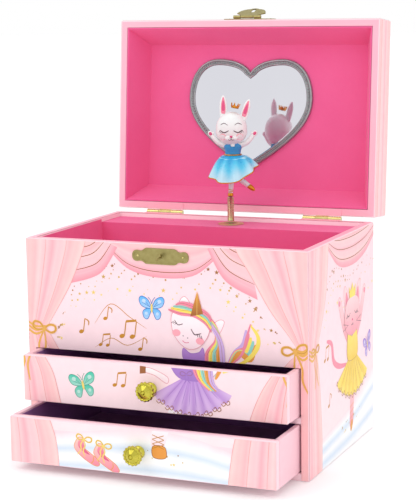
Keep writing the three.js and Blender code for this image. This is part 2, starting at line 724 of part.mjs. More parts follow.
function buildSpindle(root) {
  const pinionOutline = gearOutline(crownPinionTeeth, crownPinionRadius, 0.5, 0.75, 0.36);
  const pinion = flatPlate(pinionOutline, 2.6, 1).rotateZ(Math.PI / 2).translate(0, 0, pinionZ - 1.3);
  const wheelOutline = gearOutline(wheelTeeth, wheelRadius, gearModule * 0.8, gearModule);
  const wheel = flatPlate(wheelOutline, wheelThickness, 1).translate(0, 0, wheelZ);
  const shaftBottom = pinionZ - 1.3;
  const shaftTop = foldZ - Math.hypot(stemBelowFold, stemRadius) - 0.2;
  const shaft = rodZ(spindleRadius, shaftTop - shaftBottom, 16)
    .translate(0, 0, (shaftTop + shaftBottom) / 2);
  addPiece(root, 'output_spindle', join(shaft, pinion, wheel).translate(0, spindleY, 0), brass);

  const drum = rodZ(cylinderRadius, cylinderLength, 28);
  const pins = [];
  for (let row = 0; row < cylinderPinRows; row += 1) {
    for (let turn = 0; turn < cylinderPinsPerRow; turn += 1) {
      const z = ((row + 0.5) / cylinderPinRows - 0.5) * cylinderLength * 0.9;
      const angle = ((turn + (row * 5) / cylinderPinRows) * Math.PI * 2) / cylinderPinsPerRow;
      const pin = block(
        0, cylinderRadius + cylinderPinHeight, -cylinderPinHalfWidth, cylinderPinHalfWidth,
        z - cylinderPinHalfWidth, z + cylinderPinHalfWidth,
      );
      pins.push(pin.rotateZ(angle));
    }
  }
  const bore = rodZ(spindleRadius + 0.1, cylinderLength * 2, 16);
  const pinned = cut(join(drum, ...pins), bore)
    .translate(0, spindleY, cylinderZ + cylinderLength / 2);
  addPiece(root, 'music_cylinder', pinned, brass);

  const flyPinion = flatPlate(gearOutline(flyPinionTeeth, flyPinionRadius, gearModule * 0.8, gearModule), 1.8, 1)
    .rotateZ(Math.PI / flyPinionTeeth + Math.PI)
    .translate(0, 0, wheelZ - 0.2);
  const vane = block(
    -vaneHalfWidth, vaneHalfWidth, -vaneHalfThickness, vaneHalfThickness, cylinderZ + 3, wheelZ - 3,
  );
  const flyShaft = rodZ(flyRadius, bearingZ + 1.6 - cylinderZ, 12)
    .translate(0, 0, (bearingZ + 1.6 + cylinderZ) / 2);
  addPiece(root, 'governor_fly', join(flyPinion, vane, flyShaft).translate(flyX, spindleY, 0), steel);
}

// ---------------------------------------------------------------- dancer
// The dancer's pieces are placed about the fold point of the stem, facing -Y before the turn.
function buildDancer(root) {
  const dancer = new THREE.Group();
  dancer.position.set(0, spindleY, foldZ);
  dancer.rotation.z = figureTurn;
  root.add(dancer);

  const outer = rodZ(stemRadius, stemTop + stemBelowFold, 20);
  const bore = rodZ(stemBore, stemTop * 3, 16);
  const stem = cut(outer, bore).translate(0, 0, (stemTop - stemBelowFold) / 2);
  addPiece(dancer, 'stem_spring', stem, brass);
  const core = rodZ(stemCoreRadius, stemTop - turnedGap, 12).translate(0, 0, (stemTop - turnedGap) / 2);
  addPiece(dancer, 'stem_core', core, steel);

  const foot = stemTop + turnedGap;
  const hem = foot + 9.5;
  const waist = foot + 27.5;
  const neck = waist + 9.5;
  const headZ = neck + turnedGap + headRadius;
  addPiece(dancer, 'dancer_legs', legsGeometry(foot, hem), porcelain);
  addPiece(dancer, 'dancer_skirt', skirtGeometry(hem, waist), paleSkirt);
  addPiece(dancer, 'dancer_body', bodyGeometry(waist, neck), blueDress);
  addPiece(dancer, 'dancer_head', headGeometry(headZ), porcelain);
  const crownRing = turnedZ([[0, 0], [2, 0], [2.8, 3], [0, 2.2]], 10);
  const crownZ = headZ + headRadius + turnedGap;
  addPiece(dancer, 'dancer_crown', crownRing.rotateY(0.2).translate(3.4, 0, crownZ), goldPaint);
}

function legsGeometry(foot, hem) {
  const shoe = ball(2.2, 3.2, 1.4, 0, -0.6, foot + 1.4, 12, 8);
  const standing = tubeAlong([[0, 0, foot + 1], [0.2, 0, foot + 7], [1.2, 0, hem + 9]], 1.4, 5);
  const raised = tubeAlong([[1.4, 0, hem + 8.6], [8, 1, hem + 4], [14.2, 1.5, foot + 7.2]], 1.5, 8);
  const raisedShoe = ball(1.9, 1.9, 2.6, 14.8, 1.5, foot + 6, 12, 8);
  return join(shoe, standing, raised, raisedShoe);
}

// A bell of even thickness, tipped up on the side of the raised leg, solid at the waist.
function skirtGeometry(hem, waist) {
  const rise = waist - hem;
  const edge = 1;
  const profile = [
    [0, rise - 1.4],
    [3.2, rise - 1.8],
    [9, rise * 0.55],
    [skirtRadius - 1.6, 1.6],
    [skirtRadius - 0.6, 0.6],
    [skirtRadius, edge],
    [skirtRadius - 0.8, rise * 0.22],
    [11, rise * 0.56],
    [6.4, rise * 0.86],
    [5.2, rise],
    [0, rise],
  ];
  const bell = turnedZ(profile, 28).scale(1, 0.9, 1)
    .translate(0, 0, -rise).rotateY(-skirtTilt).translate(1.9, 0, waist);
  const aboveWaist = block(-10, 14, -10, 10, waist, waist + 4);
  return cut(bell, aboveWaist);
}

function bodyGeometry(waist, neck) {
  const rise = neck - waist;
  const low = turnedGap;
  const profile = [
    [0, low],
    [5.4, low],
    [5.4, rise * 0.3],
    [6.4, rise * 0.62],
    [4.6, rise * 0.88],
    [2.4, rise],
    [0, rise],
  ];
  const torso = turnedZ(profile, 16).scale(1, 0.72, 1).translate(2.1, 0, waist);
  const shoulder = waist + rise * 0.66;
  const hand = waist + 14.6;
  const left = tubeAlong([[-1.6, 0, shoulder], [-7.4, -0.6, shoulder + 3], [-13, -1, hand]], 1.45, 7);
  const right = tubeAlong([[5.8, 0, shoulder], [11.6, -0.6, shoulder + 3.2], [16.2, -1, hand]], 1.45, 7);
  const leftHand = ball(2, 1.7, 2.1, -13.6, -1, hand + 0.6, 10, 7);
  const rightHand = ball(2, 1.7, 2.1, 16.6, -1, hand + 0.6, 10, 7);
  return join(torso, left, right, leftHand, rightHand);
}

function headGeometry(headZ) {
  const skull = ball(headRadius, headRadius * 0.94, headRadius, 1.2, 0, headZ, 20, 14);
  const ear = (lean) => ball(2.6, 1.5, 9.2, 0, 0, 0, 12, 10).translate(0, 0, headRadius + 4.8).rotateY(lean);
  const left = ear(-0.27).translate(1.2, 0, headZ);
  const right = ear(0.58).translate(1.2, 0, headZ);
  return join(skull, left, right);
}

// ---------------------------------------------------------------- assembly
const jewelleryBox = new THREE.Group();
jewelleryBox.name = 'jewellery_box';
buildCase(jewelleryBox);
buildDeck(jewelleryBox);
buildDrawer(jewelleryBox, 'drawer_upper', upperDrawerFloor, upperDrawerPull);
buildDrawer(jewelleryBox, 'drawer_lower', lowerDrawerFloor, lowerDrawerPull);
const openLid = buildLid(jewelleryBox);
buildHinges(jewelleryBox, openLid);
buildLatch(jewelleryBox, openLid);
buildMovement(jewelleryBox);
buildWinder(jewelleryBox);
buildSpindle(jewelleryBox);
buildDancer(jewelleryBox);

export default jewelleryBox;
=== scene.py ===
"""Looks of a paper-covered musical jewellery box: the fine shapes, finishes, printed pictures and studio."""

import json
import math

import bmesh
import bpy
from bpy.props import FloatProperty, FloatVectorProperty, IntProperty, PointerProperty
from mathutils import Matrix, Vector
from mathutils.geometry import tessellate_polygon


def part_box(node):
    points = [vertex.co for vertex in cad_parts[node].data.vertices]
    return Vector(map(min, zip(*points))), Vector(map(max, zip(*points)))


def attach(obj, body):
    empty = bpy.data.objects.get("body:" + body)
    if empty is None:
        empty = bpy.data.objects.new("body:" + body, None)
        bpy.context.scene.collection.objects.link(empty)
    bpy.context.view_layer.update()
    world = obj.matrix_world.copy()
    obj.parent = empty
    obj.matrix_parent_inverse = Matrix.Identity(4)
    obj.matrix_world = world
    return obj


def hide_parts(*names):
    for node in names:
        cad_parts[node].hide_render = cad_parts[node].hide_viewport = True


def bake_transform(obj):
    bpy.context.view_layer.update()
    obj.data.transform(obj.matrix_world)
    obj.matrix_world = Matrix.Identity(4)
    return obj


bl_info = {
    "name": "Musical Jewellery Box",
    "version": (1, 0, 0),
    "blender": (4, 5, 0),
    "location": "View3D > Sidebar > Jewellery Box",
    "description": "Builds the visible shapes and finishes of a musical jewellery box round its CAD frame",
    "category": "Add Mesh",
}

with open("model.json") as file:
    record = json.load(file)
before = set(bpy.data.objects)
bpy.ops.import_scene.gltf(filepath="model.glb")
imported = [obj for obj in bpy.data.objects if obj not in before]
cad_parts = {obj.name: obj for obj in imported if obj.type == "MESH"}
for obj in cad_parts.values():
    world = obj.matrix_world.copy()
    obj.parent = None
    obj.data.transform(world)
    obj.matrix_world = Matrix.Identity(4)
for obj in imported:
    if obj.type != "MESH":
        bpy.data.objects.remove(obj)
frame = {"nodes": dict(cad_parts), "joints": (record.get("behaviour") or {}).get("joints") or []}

MM = 0.001
X_AXIS, Y_AXIS, Z_AXIS = Vector((1, 0, 0)), Vector((0, 1, 0)), Vector((0, 0, 1))
SHARP_ANGLE = math.radians(32)


# ---------------------------------------------------------------------------------------------
# Colours and materials
# ---------------------------------------------------------------------------------------------

def paint(red, green, blue):
    """Linear colour of an 8-bit sRGB colour."""
    def linear(value):
        share = value / 255
        return share / 12.92 if share <= 0.04045 else ((share + 0.055) / 1.055) ** 2.4
    return linear(red), linear(green), linear(blue)


INK = {
    "paper": paint(254, 222, 229),
    "paper_deep": paint(254, 212, 221),
    "paper_low": paint(255, 228, 232),
    "curtain": paint(250, 176, 186),
    "curtain_light": paint(255, 212, 215),
    "curtain_warm": paint(255, 205, 196),
    "curtain_line": paint(236, 152, 150),
    "swag": paint(252, 178, 190),
    "swag_light": paint(255, 208, 212),
    "swag_warm": paint(253, 196, 190),
    "swag_deep": paint(246, 152, 168),
    "gold": paint(196, 136, 44),
    "gold_foil": paint(232, 176, 84),
    "gold_light": paint(244, 214, 116),
    "gold_dark": paint(150, 92, 40),
    "apricot": paint(232, 154, 62),
    "lilac": paint(206, 172, 226),
    "lilac_dark": paint(160, 116, 196),
    "lilac_light": paint(224, 190, 236),
    "purple": paint(182, 132, 210),
    "pink": paint(240, 134, 158),
    "deep_pink": paint(222, 72, 126),
    "yellow": paint(250, 224, 96),
    "yellow_dark": paint(240, 200, 56),
    "teal": paint(46, 198, 168),
    "mint": paint(140, 208, 196),
    "blue": paint(84, 180, 246),
    "blue_dark": paint(40, 110, 190),
    "violet": paint(160, 124, 214),
    "white": paint(250, 250, 252),
    "milk": paint(254, 248, 250),
    "blush": paint(252, 222, 230),
    "ice": paint(214, 228, 244),
    "line": paint(96, 66, 78),
    "soft_line": paint(226, 150, 164),
    "brown": paint(158, 92, 40),
    "cheek": paint(252, 168, 182),
}


def new_material(name, colour, roughness, metallic=0.0, coat=0.0, sheen=0.0):
    """A Principled material with plain values on the shader's own sockets."""
    material = bpy.data.materials.new(name)
    material.use_nodes = True
    shader = material.node_tree.nodes["Principled BSDF"]
    shader.inputs["Base Color"].default_value = (*colour, 1)
    shader.inputs["Roughness"].default_value = roughness
    shader.inputs["Metallic"].default_value = metallic
    shader.inputs["Coat Weight"].default_value = coat
    shader.inputs["Sheen Weight"].default_value = sheen
    return material


def add_noise(material, scale, detail=4.0, stretch=(1, 1, 1)):
    """A noise texture on Object coordinates, as fine as scale says, drawn out along the stretched axes."""
    nodes, links = material.node_tree.nodes, material.node_tree.links
    place = nodes.new("ShaderNodeTexCoord")
    mapping = nodes.new("ShaderNodeMapping")
    mapping.inputs["Scale"].default_value = stretch
    noise = nodes.new("ShaderNodeTexNoise")
    noise.inputs["Scale"].default_value = scale
    noise.inputs["Detail"].default_value = detail
    links.new(place.outputs["Object"], mapping.inputs["Vector"])
    links.new(mapping.outputs["Vector"], noise.inputs["Vector"])
    return noise


def vary_colour(material, first, second, scale, stretch=(1, 1, 1)):
    """The base colour wanders between two colours."""
    nodes, links = material.node_tree.nodes, material.node_tree.links
    noise = add_noise(material, scale, stretch=stretch)
    mix = nodes.new("ShaderNodeMix")
    mix.data_type = "RGBA"
    mix.inputs["A"].default_value = (*first, 1)
    mix.inputs["B"].default_value = (*second, 1)
    links.new(noise.outputs["Fac"], mix.inputs["Factor"])
    links.new(mix.outputs["Result"], nodes["Principled BSDF"].inputs["Base Color"])


def vary_roughness(material, low, high, scale, stretch=(1, 1, 1)):
    """The roughness wanders between two values."""
    nodes, links = material.node_tree.nodes, material.node_tree.links
    noise = add_noise(material, scale, stretch=stretch)
    spread = nodes.new("ShaderNodeMapRange")
    spread.inputs["From Min"].default_value = 0.3
    spread.inputs["From Max"].default_value = 0.7
    spread.inputs["To Min"].default_value = low
    spread.inputs["To Max"].default_value = high
    links.new(noise.outputs["Fac"], spread.inputs["Value"])
    links.new(spread.outputs["Result"], nodes["Principled BSDF"].inputs["Roughness"])


def add_bump(material, scale, height, strength=0.4, detail=5.0, stretch=(1, 1, 1)):
    """Fine relief of the given height in metres."""
    nodes, links = material.node_tree.nodes, material.node_tree.links
    noise = add_noise(material, scale, detail, stretch)
    bump = nodes.new("ShaderNodeBump")
    bump.inputs["Strength"].default_value = strength
    bump.inputs["Distance"].default_value = height
    links.new(noise.outputs["Fac"], bump.inputs["Height"])
    links.new(bump.outputs["Normal"], nodes["Principled BSDF"].inputs["Normal"])


def paper_finish(name, colour, shade, roughness=0.46):
    """Satin paper pasted on board: faint mottling and a slight fibre."""
    material = new_material(name, colour, roughness, coat=0.06)
    vary_colour(material, colour, shade, 60)
    vary_roughness(material, roughness - 0.07, roughness + 0.08, 140)
    add_bump(material, 900, 0.00006, 0.25)
    return material


def metal_finish(name, colour, shade, roughness, scale=260, relief=0.00004):
    """Plated metal with small stains and handling marks."""
    material = new_material(name, colour, roughness, metallic=1.0)
    vary_colour(material, colour, shade, scale)
    vary_roughness(material, max(0.05, roughness - 0.1), roughness + 0.12, scale * 1.7)
    add_bump(material, scale * 4, relief, 0.3)
    return material


def flock_finish(name, colour, shade):
    """Short velvet flock sprayed on board."""
    material = new_material(name, colour, 0.9, sheen=0.35)
    shader = material.node_tree.nodes["Principled BSDF"]
    shader.inputs["Sheen Roughness"].default_value = 0.45
    shader.inputs["Sheen Tint"].default_value = (*paint(255, 190, 215), 1)
    vary_colour(material, colour, shade, 38)
    vary_roughness(material, 0.82, 0.98, 500)
    add_bump(material, 2600, 0.00025, 0.5, detail=8)
    return material


def enamel_finish(name, colour, shade, roughness=0.3):
    """Painted moulded resin with a soft gloss."""
    material = new_material(name, colour, roughness, coat=0.25)
    vary_colour(material, colour, shade, 220)
    vary_roughness(material, roughness - 0.05, roughness + 0.12, 300)
    add_bump(material, 420, 0.00008, 0.2)
    return material


def ink_finish(name, roughness=0.42, coat=0.08):
    """Printing ink: colour from the Ink attribute, and gold foil where the Foil attribute is one."""
    material = new_material(name, (1, 1, 1), roughness, coat=coat)
    nodes, links = material.node_tree.nodes, material.node_tree.links
    shader = nodes["Principled BSDF"]
    ink = nodes.new("ShaderNodeAttribute")
    ink.attribute_name = "Ink"
    foil = nodes.new("ShaderNodeAttribute")
    foil.attribute_name = "Foil"
    grain = add_noise(material, 150)
    tone = nodes.new("ShaderNodeMapRange")
    tone.inputs["To Min"].default_value = 0.94
    tone.inputs["To Max"].default_value = 1.04
    shade = nodes.new("ShaderNodeVectorMath")
    shade.operation = "SCALE"
    metal = nodes.new("ShaderNodeMath")
    metal.operation = "MULTIPLY"
    metal.inputs[1].default_value = 0.55
    links.new(grain.outputs["Fac"], tone.inputs["Value"])
    links.new(ink.outputs["Color"], shade.inputs[0])
    links.new(tone.outputs["Result"], shade.inputs["Scale"])
    links.new(shade.outputs["Vector"], shader.inputs["Base Color"])
    links.new(foil.outputs["Fac"], metal.inputs[0])
    links.new(metal.outputs["Value"], shader.inputs["Metallic"])
    vary_roughness(material, roughness - 0.08, roughness + 0.08, 170)
    add_bump(material, 900, 0.00005, 0.2)
    return material


FINISHES = {}


def make_finishes():
    """Every finish of the box, made once."""
    FINISHES.update({
        "paper": paper_finish("printed paper", INK["paper"], INK["paper_deep"]),
        "rim": paper_finish("rim paper", paint(255, 188, 204), paint(253, 178, 196)),
        "plain": paper_finish("drawer paper", paint(250, 208, 218), paint(244, 196, 208)),
        "plum": flock_finish("plum lining", paint(166, 112, 180), paint(134, 86, 142)),
        "flock": flock_finish("pink flock", paint(242, 104, 158), paint(235, 92, 148)),
        "brass": metal_finish("brass", paint(206, 200, 84), paint(176, 160, 54), 0.2, 160, 0.00001),
        "bright": metal_finish("bright brass", paint(226, 214, 150), paint(198, 184, 112), 0.22, 160,
                               0.00001),
        "antique": metal_finish("antique brass", paint(176, 166, 112), paint(140, 128, 76), 0.4, 300,
                                0.00002),
        "steel": metal_finish("steel", paint(196, 190, 170), paint(160, 154, 132), 0.24, 160, 0.00001),
        "satin": metal_finish("satin brass", paint(232, 222, 168), paint(208, 196, 130), 0.4, 160, 0.00001),
        "spring": metal_finish("spring wire", paint(214, 206, 168), paint(188, 178, 132), 0.26, 160,
                               0.00001),
        "silver": metal_finish("silver trim", paint(176, 182, 182), paint(150, 156, 158), 0.5, 200,
                               0.00001),
        "enamel": enamel_finish("white enamel", paint(240, 240, 238), paint(228, 228, 230)),
        "bodice": enamel_finish("blue bodice", paint(20, 144, 202), paint(10, 116, 180)),
        "gilt": metal_finish("gold paint", paint(226, 158, 60), paint(196, 124, 36), 0.34, 700),
        "ink": ink_finish("printing ink"),
        "glaze": ink_finish("painted detail", 0.3, 0.25),
    })
    glass = new_material("mirror glass", paint(222, 222, 228), 0.03, metallic=1.0)
    vary_colour(glass, paint(224, 224, 230), paint(214, 214, 222), 12)
    vary_roughness(glass, 0.02, 0.06, 30)
    FINISHES["mirror"] = glass


# ---------------------------------------------------------------------------------------------
# Shapes
# ---------------------------------------------------------------------------------------------

def span(*nodes):
    """The box round several CAD nodes."""
    boxes = [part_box(node) for node in nodes]
    low = Vector([min(b[0][axis] for b in boxes) for axis in range(3)])
    high = Vector([max(b[1][axis] for b in boxes) for axis in range(3)])
    return low, high


def centre(node):
    """The middle of a CAD node's box."""
    low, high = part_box(node)
    return (low + high) / 2


def joint(name):
    """A joint of the frame by its name."""
    return next(j for j in frame["joints"] if j["name"] == name)


def lid_matrix():
    """Moves a point of the shut lid to where the lid stands open at rest."""
    hinge = joint("lid_hinge")
    pivot = Vector(hinge["pos_m"])
    turn = Matrix.Rotation(math.radians(hinge["range_deg"][0]), 4, "X")
    return Matrix.Translation(pivot) @ turn @ Matrix.Translation(-pivot)


def shut_span(*nodes):
    """The box round several lid nodes with the lid shut."""
    back = lid_matrix().inverted()
    points = [back @ v.co for node in nodes for v in frame["nodes"][node].data.vertices]
    low = Vector([min(p[axis] for p in points) for axis in range(3)])
    high = Vector([max(p[axis] for p in points) for axis in range(3)])
    return low, high


def finish_piece(name, bm, finish, body, replaces=(), smooth=True, levels=0, matrix=None):
    """Turns a bmesh into a finished piece that rides on its body."""
    if matrix is not None:
        bmesh.ops.transform(bm, matrix=matrix, verts=bm.verts)
    bmesh.ops.recalc_face_normals(bm, faces=bm.faces)
    for face in bm.faces:
        face.smooth = smooth
    if smooth:
        for edge in bm.edges:
            edge.smooth = not (len(edge.link_faces) == 2 and edge.calc_face_angle(0) > SHARP_ANGLE)
    mesh = bpy.data.meshes.new(name)
    bm.to_mesh(mesh)
    bm.free()
    piece = bpy.data.objects.new(name, mesh)
    bpy.context.scene.collection.objects.link(piece)
    mesh.materials.append(FINISHES[finish])
    if levels:
        rounding = piece.modifiers.new("Rounding", "SUBSURF")
        rounding.levels = levels
        rounding.render_levels = levels
    if body is not None:
        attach(piece, body)
    if replaces:
        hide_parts(*replaces)
    return piece


def add_box(bm, low, high):
    """A box between two corners. Returns its faces."""
    size = high - low
    place = Matrix.Translation((low + high) / 2) @ Matrix.Diagonal((*size, 1))
    made = bmesh.ops.create_cube(bm, size=1, matrix=place)
    return list({face for vert in made["verts"] for face in vert.link_faces})


def add_ball(bm, middle, radii, segments=20, rings=12, turn=None):
    """An ellipsoid. Returns its vertices."""
    place = Matrix.Translation(middle) @ (turn or Matrix.Identity(4)) @ Matrix.Diagonal((*radii, 1))
    return bmesh.ops.create_uvsphere(bm, u_segments=segments, v_segments=rings, radius=1,
                                     matrix=place)["verts"]


def round_edges(bm, width, segments=3, convex_only=True):
    """Rounds the sharp edges, and only the outward ones when asked."""
    edges = [e for e in bm.edges if len(e.link_faces) == 2 and e.calc_face_angle(0) > SHARP_ANGLE
             and (e.is_convex or not convex_only)]
    bmesh.ops.bevel(bm, geom=edges, offset=width, affect="EDGES", segments=segments, profile=0.5,
                    material=-1)


def cut_planes(bm, axis, places):
    """Cuts every face where it crosses the planes at these places along an axis."""
    direction = Vector([1.0 if i == axis else 0.0 for i in range(3)])
    for place in places:
        geometry = list(bm.verts) + list(bm.edges) + list(bm.faces)
        bmesh.ops.bisect_plane(bm, geom=geometry, plane_co=direction * place, plane_no=direction, dist=1e-7)


def faces_within(bm, low, high, normal):
    """The faces that look along the normal and lie in a box."""
    grow = Vector((1e-6, 1e-6, 1e-6))
    found = []
    for face in bm.faces:
        point = face.calc_center_median()
        inside = all((low - grow)[i] <= point[i] <= (high + grow)[i] for i in range(3))
        if inside and face.normal.dot(normal) > 0.9:
            found.append(face)
    return found


def sink_faces(bm, faces, move):
    """Pushes a group of faces in, with walls left behind them."""
    made = bmesh.ops.extrude_face_region(bm, geom=faces)["geom"]
    verts = [item for item in made if isinstance(item, bmesh.types.BMVert)]
    bmesh.ops.delete(bm, geom=faces, context="FACES")
    bmesh.ops.translate(bm, verts=verts, vec=move)
    bm.normal_update()


def spun(bm, profile, middle, axis, steps=48):
    """Spins a profile of (distance from the axis, place along it) points about an axis through a point."""
    side = axis.orthogonal().normalized()
    verts = [bm.verts.new(middle + side * reach + axis * along) for reach, along in profile]
    edges = [bm.edges.new(pair) for pair in zip(verts, verts[1:])]
    bmesh.ops.spin(bm, geom=verts + edges, cent=middle, axis=axis, angle=math.tau, steps=steps,
                   use_merge=True)
    bmesh.ops.remove_doubles(bm, verts=bm.verts, dist=1e-6)


def add_tube(bm, points, radii, sides=14, closed=False, flatten=1.0, up=None):
    """A round tube along points, with a radius at each, closed at its ends."""
    count = len(points)
    rings = []
    previous = up or Vector((0.13, 0.9, 0.42))
    for index, point in enumerate(points):
        ahead = points[(index + 1) % count if closed else min(index + 1, count - 1)]
        behind = points[(index - 1) % count if closed else max(index - 1, 0)]
        along = (ahead - behind).normalized()
        across = (previous - along * previous.dot(along)).normalized()
        previous = across
        other = along.cross(across)
        radius = radii[index] if isinstance(radii, (list, tuple)) else radii
        ring = []
        for step in range(sides):
            angle = math.tau * step / sides
            ring.append(bm.verts.new(point + across * radius * math.cos(angle)
                                     + other * radius * flatten * math.sin(angle)))
        rings.append(ring)
    pairs = list(zip(rings, rings[1:])) + ([(rings[-1], rings[0])] if closed else [])
    for lower, upper in pairs:
        for step in range(sides):
            following = (step + 1) % sides
            bm.faces.new((lower[step], lower[following], upper[following], upper[step]))
    if not closed:
        bm.faces.new(rings[0][::-1])
        bm.faces.new(rings[-1])
    return [vert for ring in rings for vert in ring]


def loft(bm, rings, cap=True):
    """Joins rings of points, each with as many points as the next, into a skin."""
    rows = [[bm.verts.new(point) for point in ring] for ring in rings]
    count = len(rows[0])
    for lower, upper in zip(rows, rows[1:]):
        for step in range(count):
            following = (step + 1) % count
            bm.faces.new((lower[step], lower[following], upper[following], upper[step]))
    if cap:
        bm.faces.new(rows[0][::-1])
        bm.faces.new(rows[-1])
    return rows


def extruded_outline(bm, outline, thickness, place):
    """A flat plate from an outline in its own plane, given thickness along its own third axis."""
    verts = [bm.verts.new(place @ Vector((u, v, 0))) for u, v in outline]
    triangles = tessellate_polygon([[Vector((u, v, 0)) for u, v in outline]])
    faces = [bm.faces.new([verts[i] for i in triangle]) for triangle in triangles]
    made = bmesh.ops.extrude_face_region(bm, geom=faces)["geom"]
    raised = [item for item in made if isinstance(item, bmesh.types.BMVert)]
    lift = place.to_3x3() @ Vector((0, 0, thickness))
    bmesh.ops.translate(bm, verts=raised, vec=lift)
    bmesh.ops.dissolve_limit(bm, angle_limit=0.01, verts=bm.verts, edges=bm.edges)


def smooth_line(points, steps=6, closed=False):
    """A curve through flat points."""
    count = len(points)
    last = count if closed else count - 1
    line = []
    for index in range(last):
        p0 = points[(index - 1) % count if closed else max(index - 1, 0)]
        p1, p2 = points[index], points[(index + 1) % count]
        p3 = points[(index + 2) % count if closed else min(index + 2, count - 1)]
        for step in range(steps):
            t = step / steps
            line.append(tuple(
                0.5 * (2 * b + (c - a) * t + (2 * a - 5 * b + 4 * c - d) * t ** 2
                       + (3 * b - a - 3 * c + d) * t ** 3)
                for a, b, c, d in zip(p0, p1, p2, p3)))
    if not closed:
        line.append(tuple(points[-1]))
    return line


def lerp(first, second, share):
    """The value part of the way between two values or points."""
    if isinstance(first, (int, float)):
        return first + (second - first) * share
    return tuple(a + (b - a) * share for a, b in zip(first, second))


# ---------------------------------------------------------------------------------------------
# Case, drawers and lid
# ---------------------------------------------------------------------------------------------

CASE_BOARDS = ("side_panel_left", "side_panel_right", "back_panel", "front_fascia", "base_panel",
               "drawer_shelf", "compartment_floor")
LID_BOARDS = ("lid_top", "lid_rail_left", "lid_rail_right", "lid_rail_front", "lid_rail_back")


def build_case_shell(looks):
    """The wrapped case: one skin with the compartment, two drawer bays and the hole for the arbor."""
    low, high = span(*CASE_BOARDS)
    left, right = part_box("side_panel_left")[1].x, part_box("side_panel_right")[0].x
    front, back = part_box("front_fascia")[1].y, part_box("back_panel")[0].y
    floor_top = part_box("compartment_floor")[1].z
    bays = [(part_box("base_panel")[1].z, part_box("drawer_shelf")[0].z),
            (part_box("drawer_shelf")[1].z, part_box("compartment_floor")[0].z)]
    arbor_low, arbor_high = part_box("winding_arbor")
    arbor_high = Vector((arbor_high.x, high.y, arbor_high.z))
    hole = looks.arbor_gap + (arbor_high.z - arbor_low.z) / 2
    arbor_x, arbor_z = centre("winding_arbor").x, centre("winding_arbor").z

    bm = bmesh.new()
    add_box(bm, low, high)
    cut_planes(bm, 0, (left, right))
    cut_planes(bm, 1, (front, back))
    top = faces_within(bm, Vector((left, front, high.z)), Vector((right, back, high.z)), Z_AXIS)
    sink_faces(bm, top, Vector((0, 0, floor_top - high.z)))
    cut_planes(bm, 2, [place for bay in bays for place in bay])
    for bottom, ceiling in bays:
        window = faces_within(bm, Vector((left, low.y, bottom)), Vector((right, low.y, ceiling)), -Y_AXIS)
        sink_faces(bm, window, Vector((0, back - low.y, 0)))
    cut_planes(bm, 0, (arbor_x - hole, arbor_x + hole))
    cut_planes(bm, 2, (arbor_z - hole, arbor_z + hole))
    hole_low = Vector((arbor_x - hole, back, arbor_z - hole))
    hole_high = Vector((arbor_x + hole, high.y, arbor_z + hole))
    walls = faces_within(bm, hole_low, hole_high, Y_AXIS) + faces_within(bm, hole_low, hole_high, -Y_AXIS)
    rims = [edge for face in walls for edge in face.edges]
    bmesh.ops.delete(bm, geom=walls, context="FACES_ONLY")
    bmesh.ops.bridge_loops(bm, edges=rims)
    bmesh.ops.recalc_face_normals(bm, faces=bm.faces)
    round_edges(bm, looks.edge_radius)
    finish_piece("case_shell", bm, "paper", "case", CASE_BOARDS)


def build_rims(looks):
    """The plainer, stronger pink paper turned over the rims of the case."""
    low, high = span(*CASE_BOARDS)
    left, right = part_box("side_panel_left")[1].x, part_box("side_panel_right")[0].x
    front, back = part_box("front_fascia")[1].y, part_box("back_panel")[0].y
    inset, lift = looks.edge_radius, looks.paper_thickness
    bm = bmesh.new()
    strips = (
        ((low.x + inset, low.y + inset), (high.x - inset, front)),
        ((low.x + inset, back), (high.x - inset, high.y - inset)), ((low.x + inset, front), (left, back)),
        ((right, front), (high.x - inset, back)),
    )
    for (x0, y0), (x1, y1) in strips:
        verts = [bm.verts.new((x, y, high.z + lift)) for x, y in ((x0, y0), (x1, y0), (x1, y1), (x0, y1))]
        bm.faces.new(verts)
    finish_piece("case_rim_paper", bm, "rim", "case", smooth=False)


def build_lid_shell(looks):
    """The wrapped lid: a shallow tray with rounded edges, its rims covered in the rim paper."""
    low, high = shut_span(*LID_BOARDS)
    left = shut_span("lid_rail_left")[1].x
    right = shut_span("lid_rail_right")[0].x
    front = shut_span("lid_rail_front")[1].y
    back = shut_span("lid_rail_back")[0].y
    ceiling = shut_span("lid_top")[0].z
    bm = bmesh.new()
    add_box(bm, low, high)
    cut_planes(bm, 0, (left, right))
    cut_planes(bm, 1, (front, back))
    mouth = faces_within(bm, Vector((left, front, low.z)), Vector((right, back, low.z)), -Z_AXIS)
    sink_faces(bm, mouth, Vector((0, 0, ceiling - low.z)))
    bmesh.ops.recalc_face_normals(bm, faces=bm.faces)
    round_edges(bm, looks.edge_radius)
    finish_piece("lid_shell", bm, "paper", "lid", LID_BOARDS, matrix=lid_matrix())

    bm = bmesh.new()
    inset, drop = looks.edge_radius, low.z - looks.paper_thickness
    strips = (
        ((low.x + inset, low.y + inset), (high.x - inset, front)),
        ((low.x + inset, back), (high.x - inset, high.y - inset)), ((low.x + inset, front), (left, back)),
        ((right, front), (high.x - inset, back)),
    )
    for (x0, y0), (x1, y1) in strips:
        verts = [bm.verts.new((x, y, drop)) for x, y in ((x0, y0), (x1, y0), (x1, y1), (x0, y1))]
        bm.faces.new(verts)
    finish_piece("lid_rim_paper", bm, "rim", "lid", smooth=False, matrix=lid_matrix())


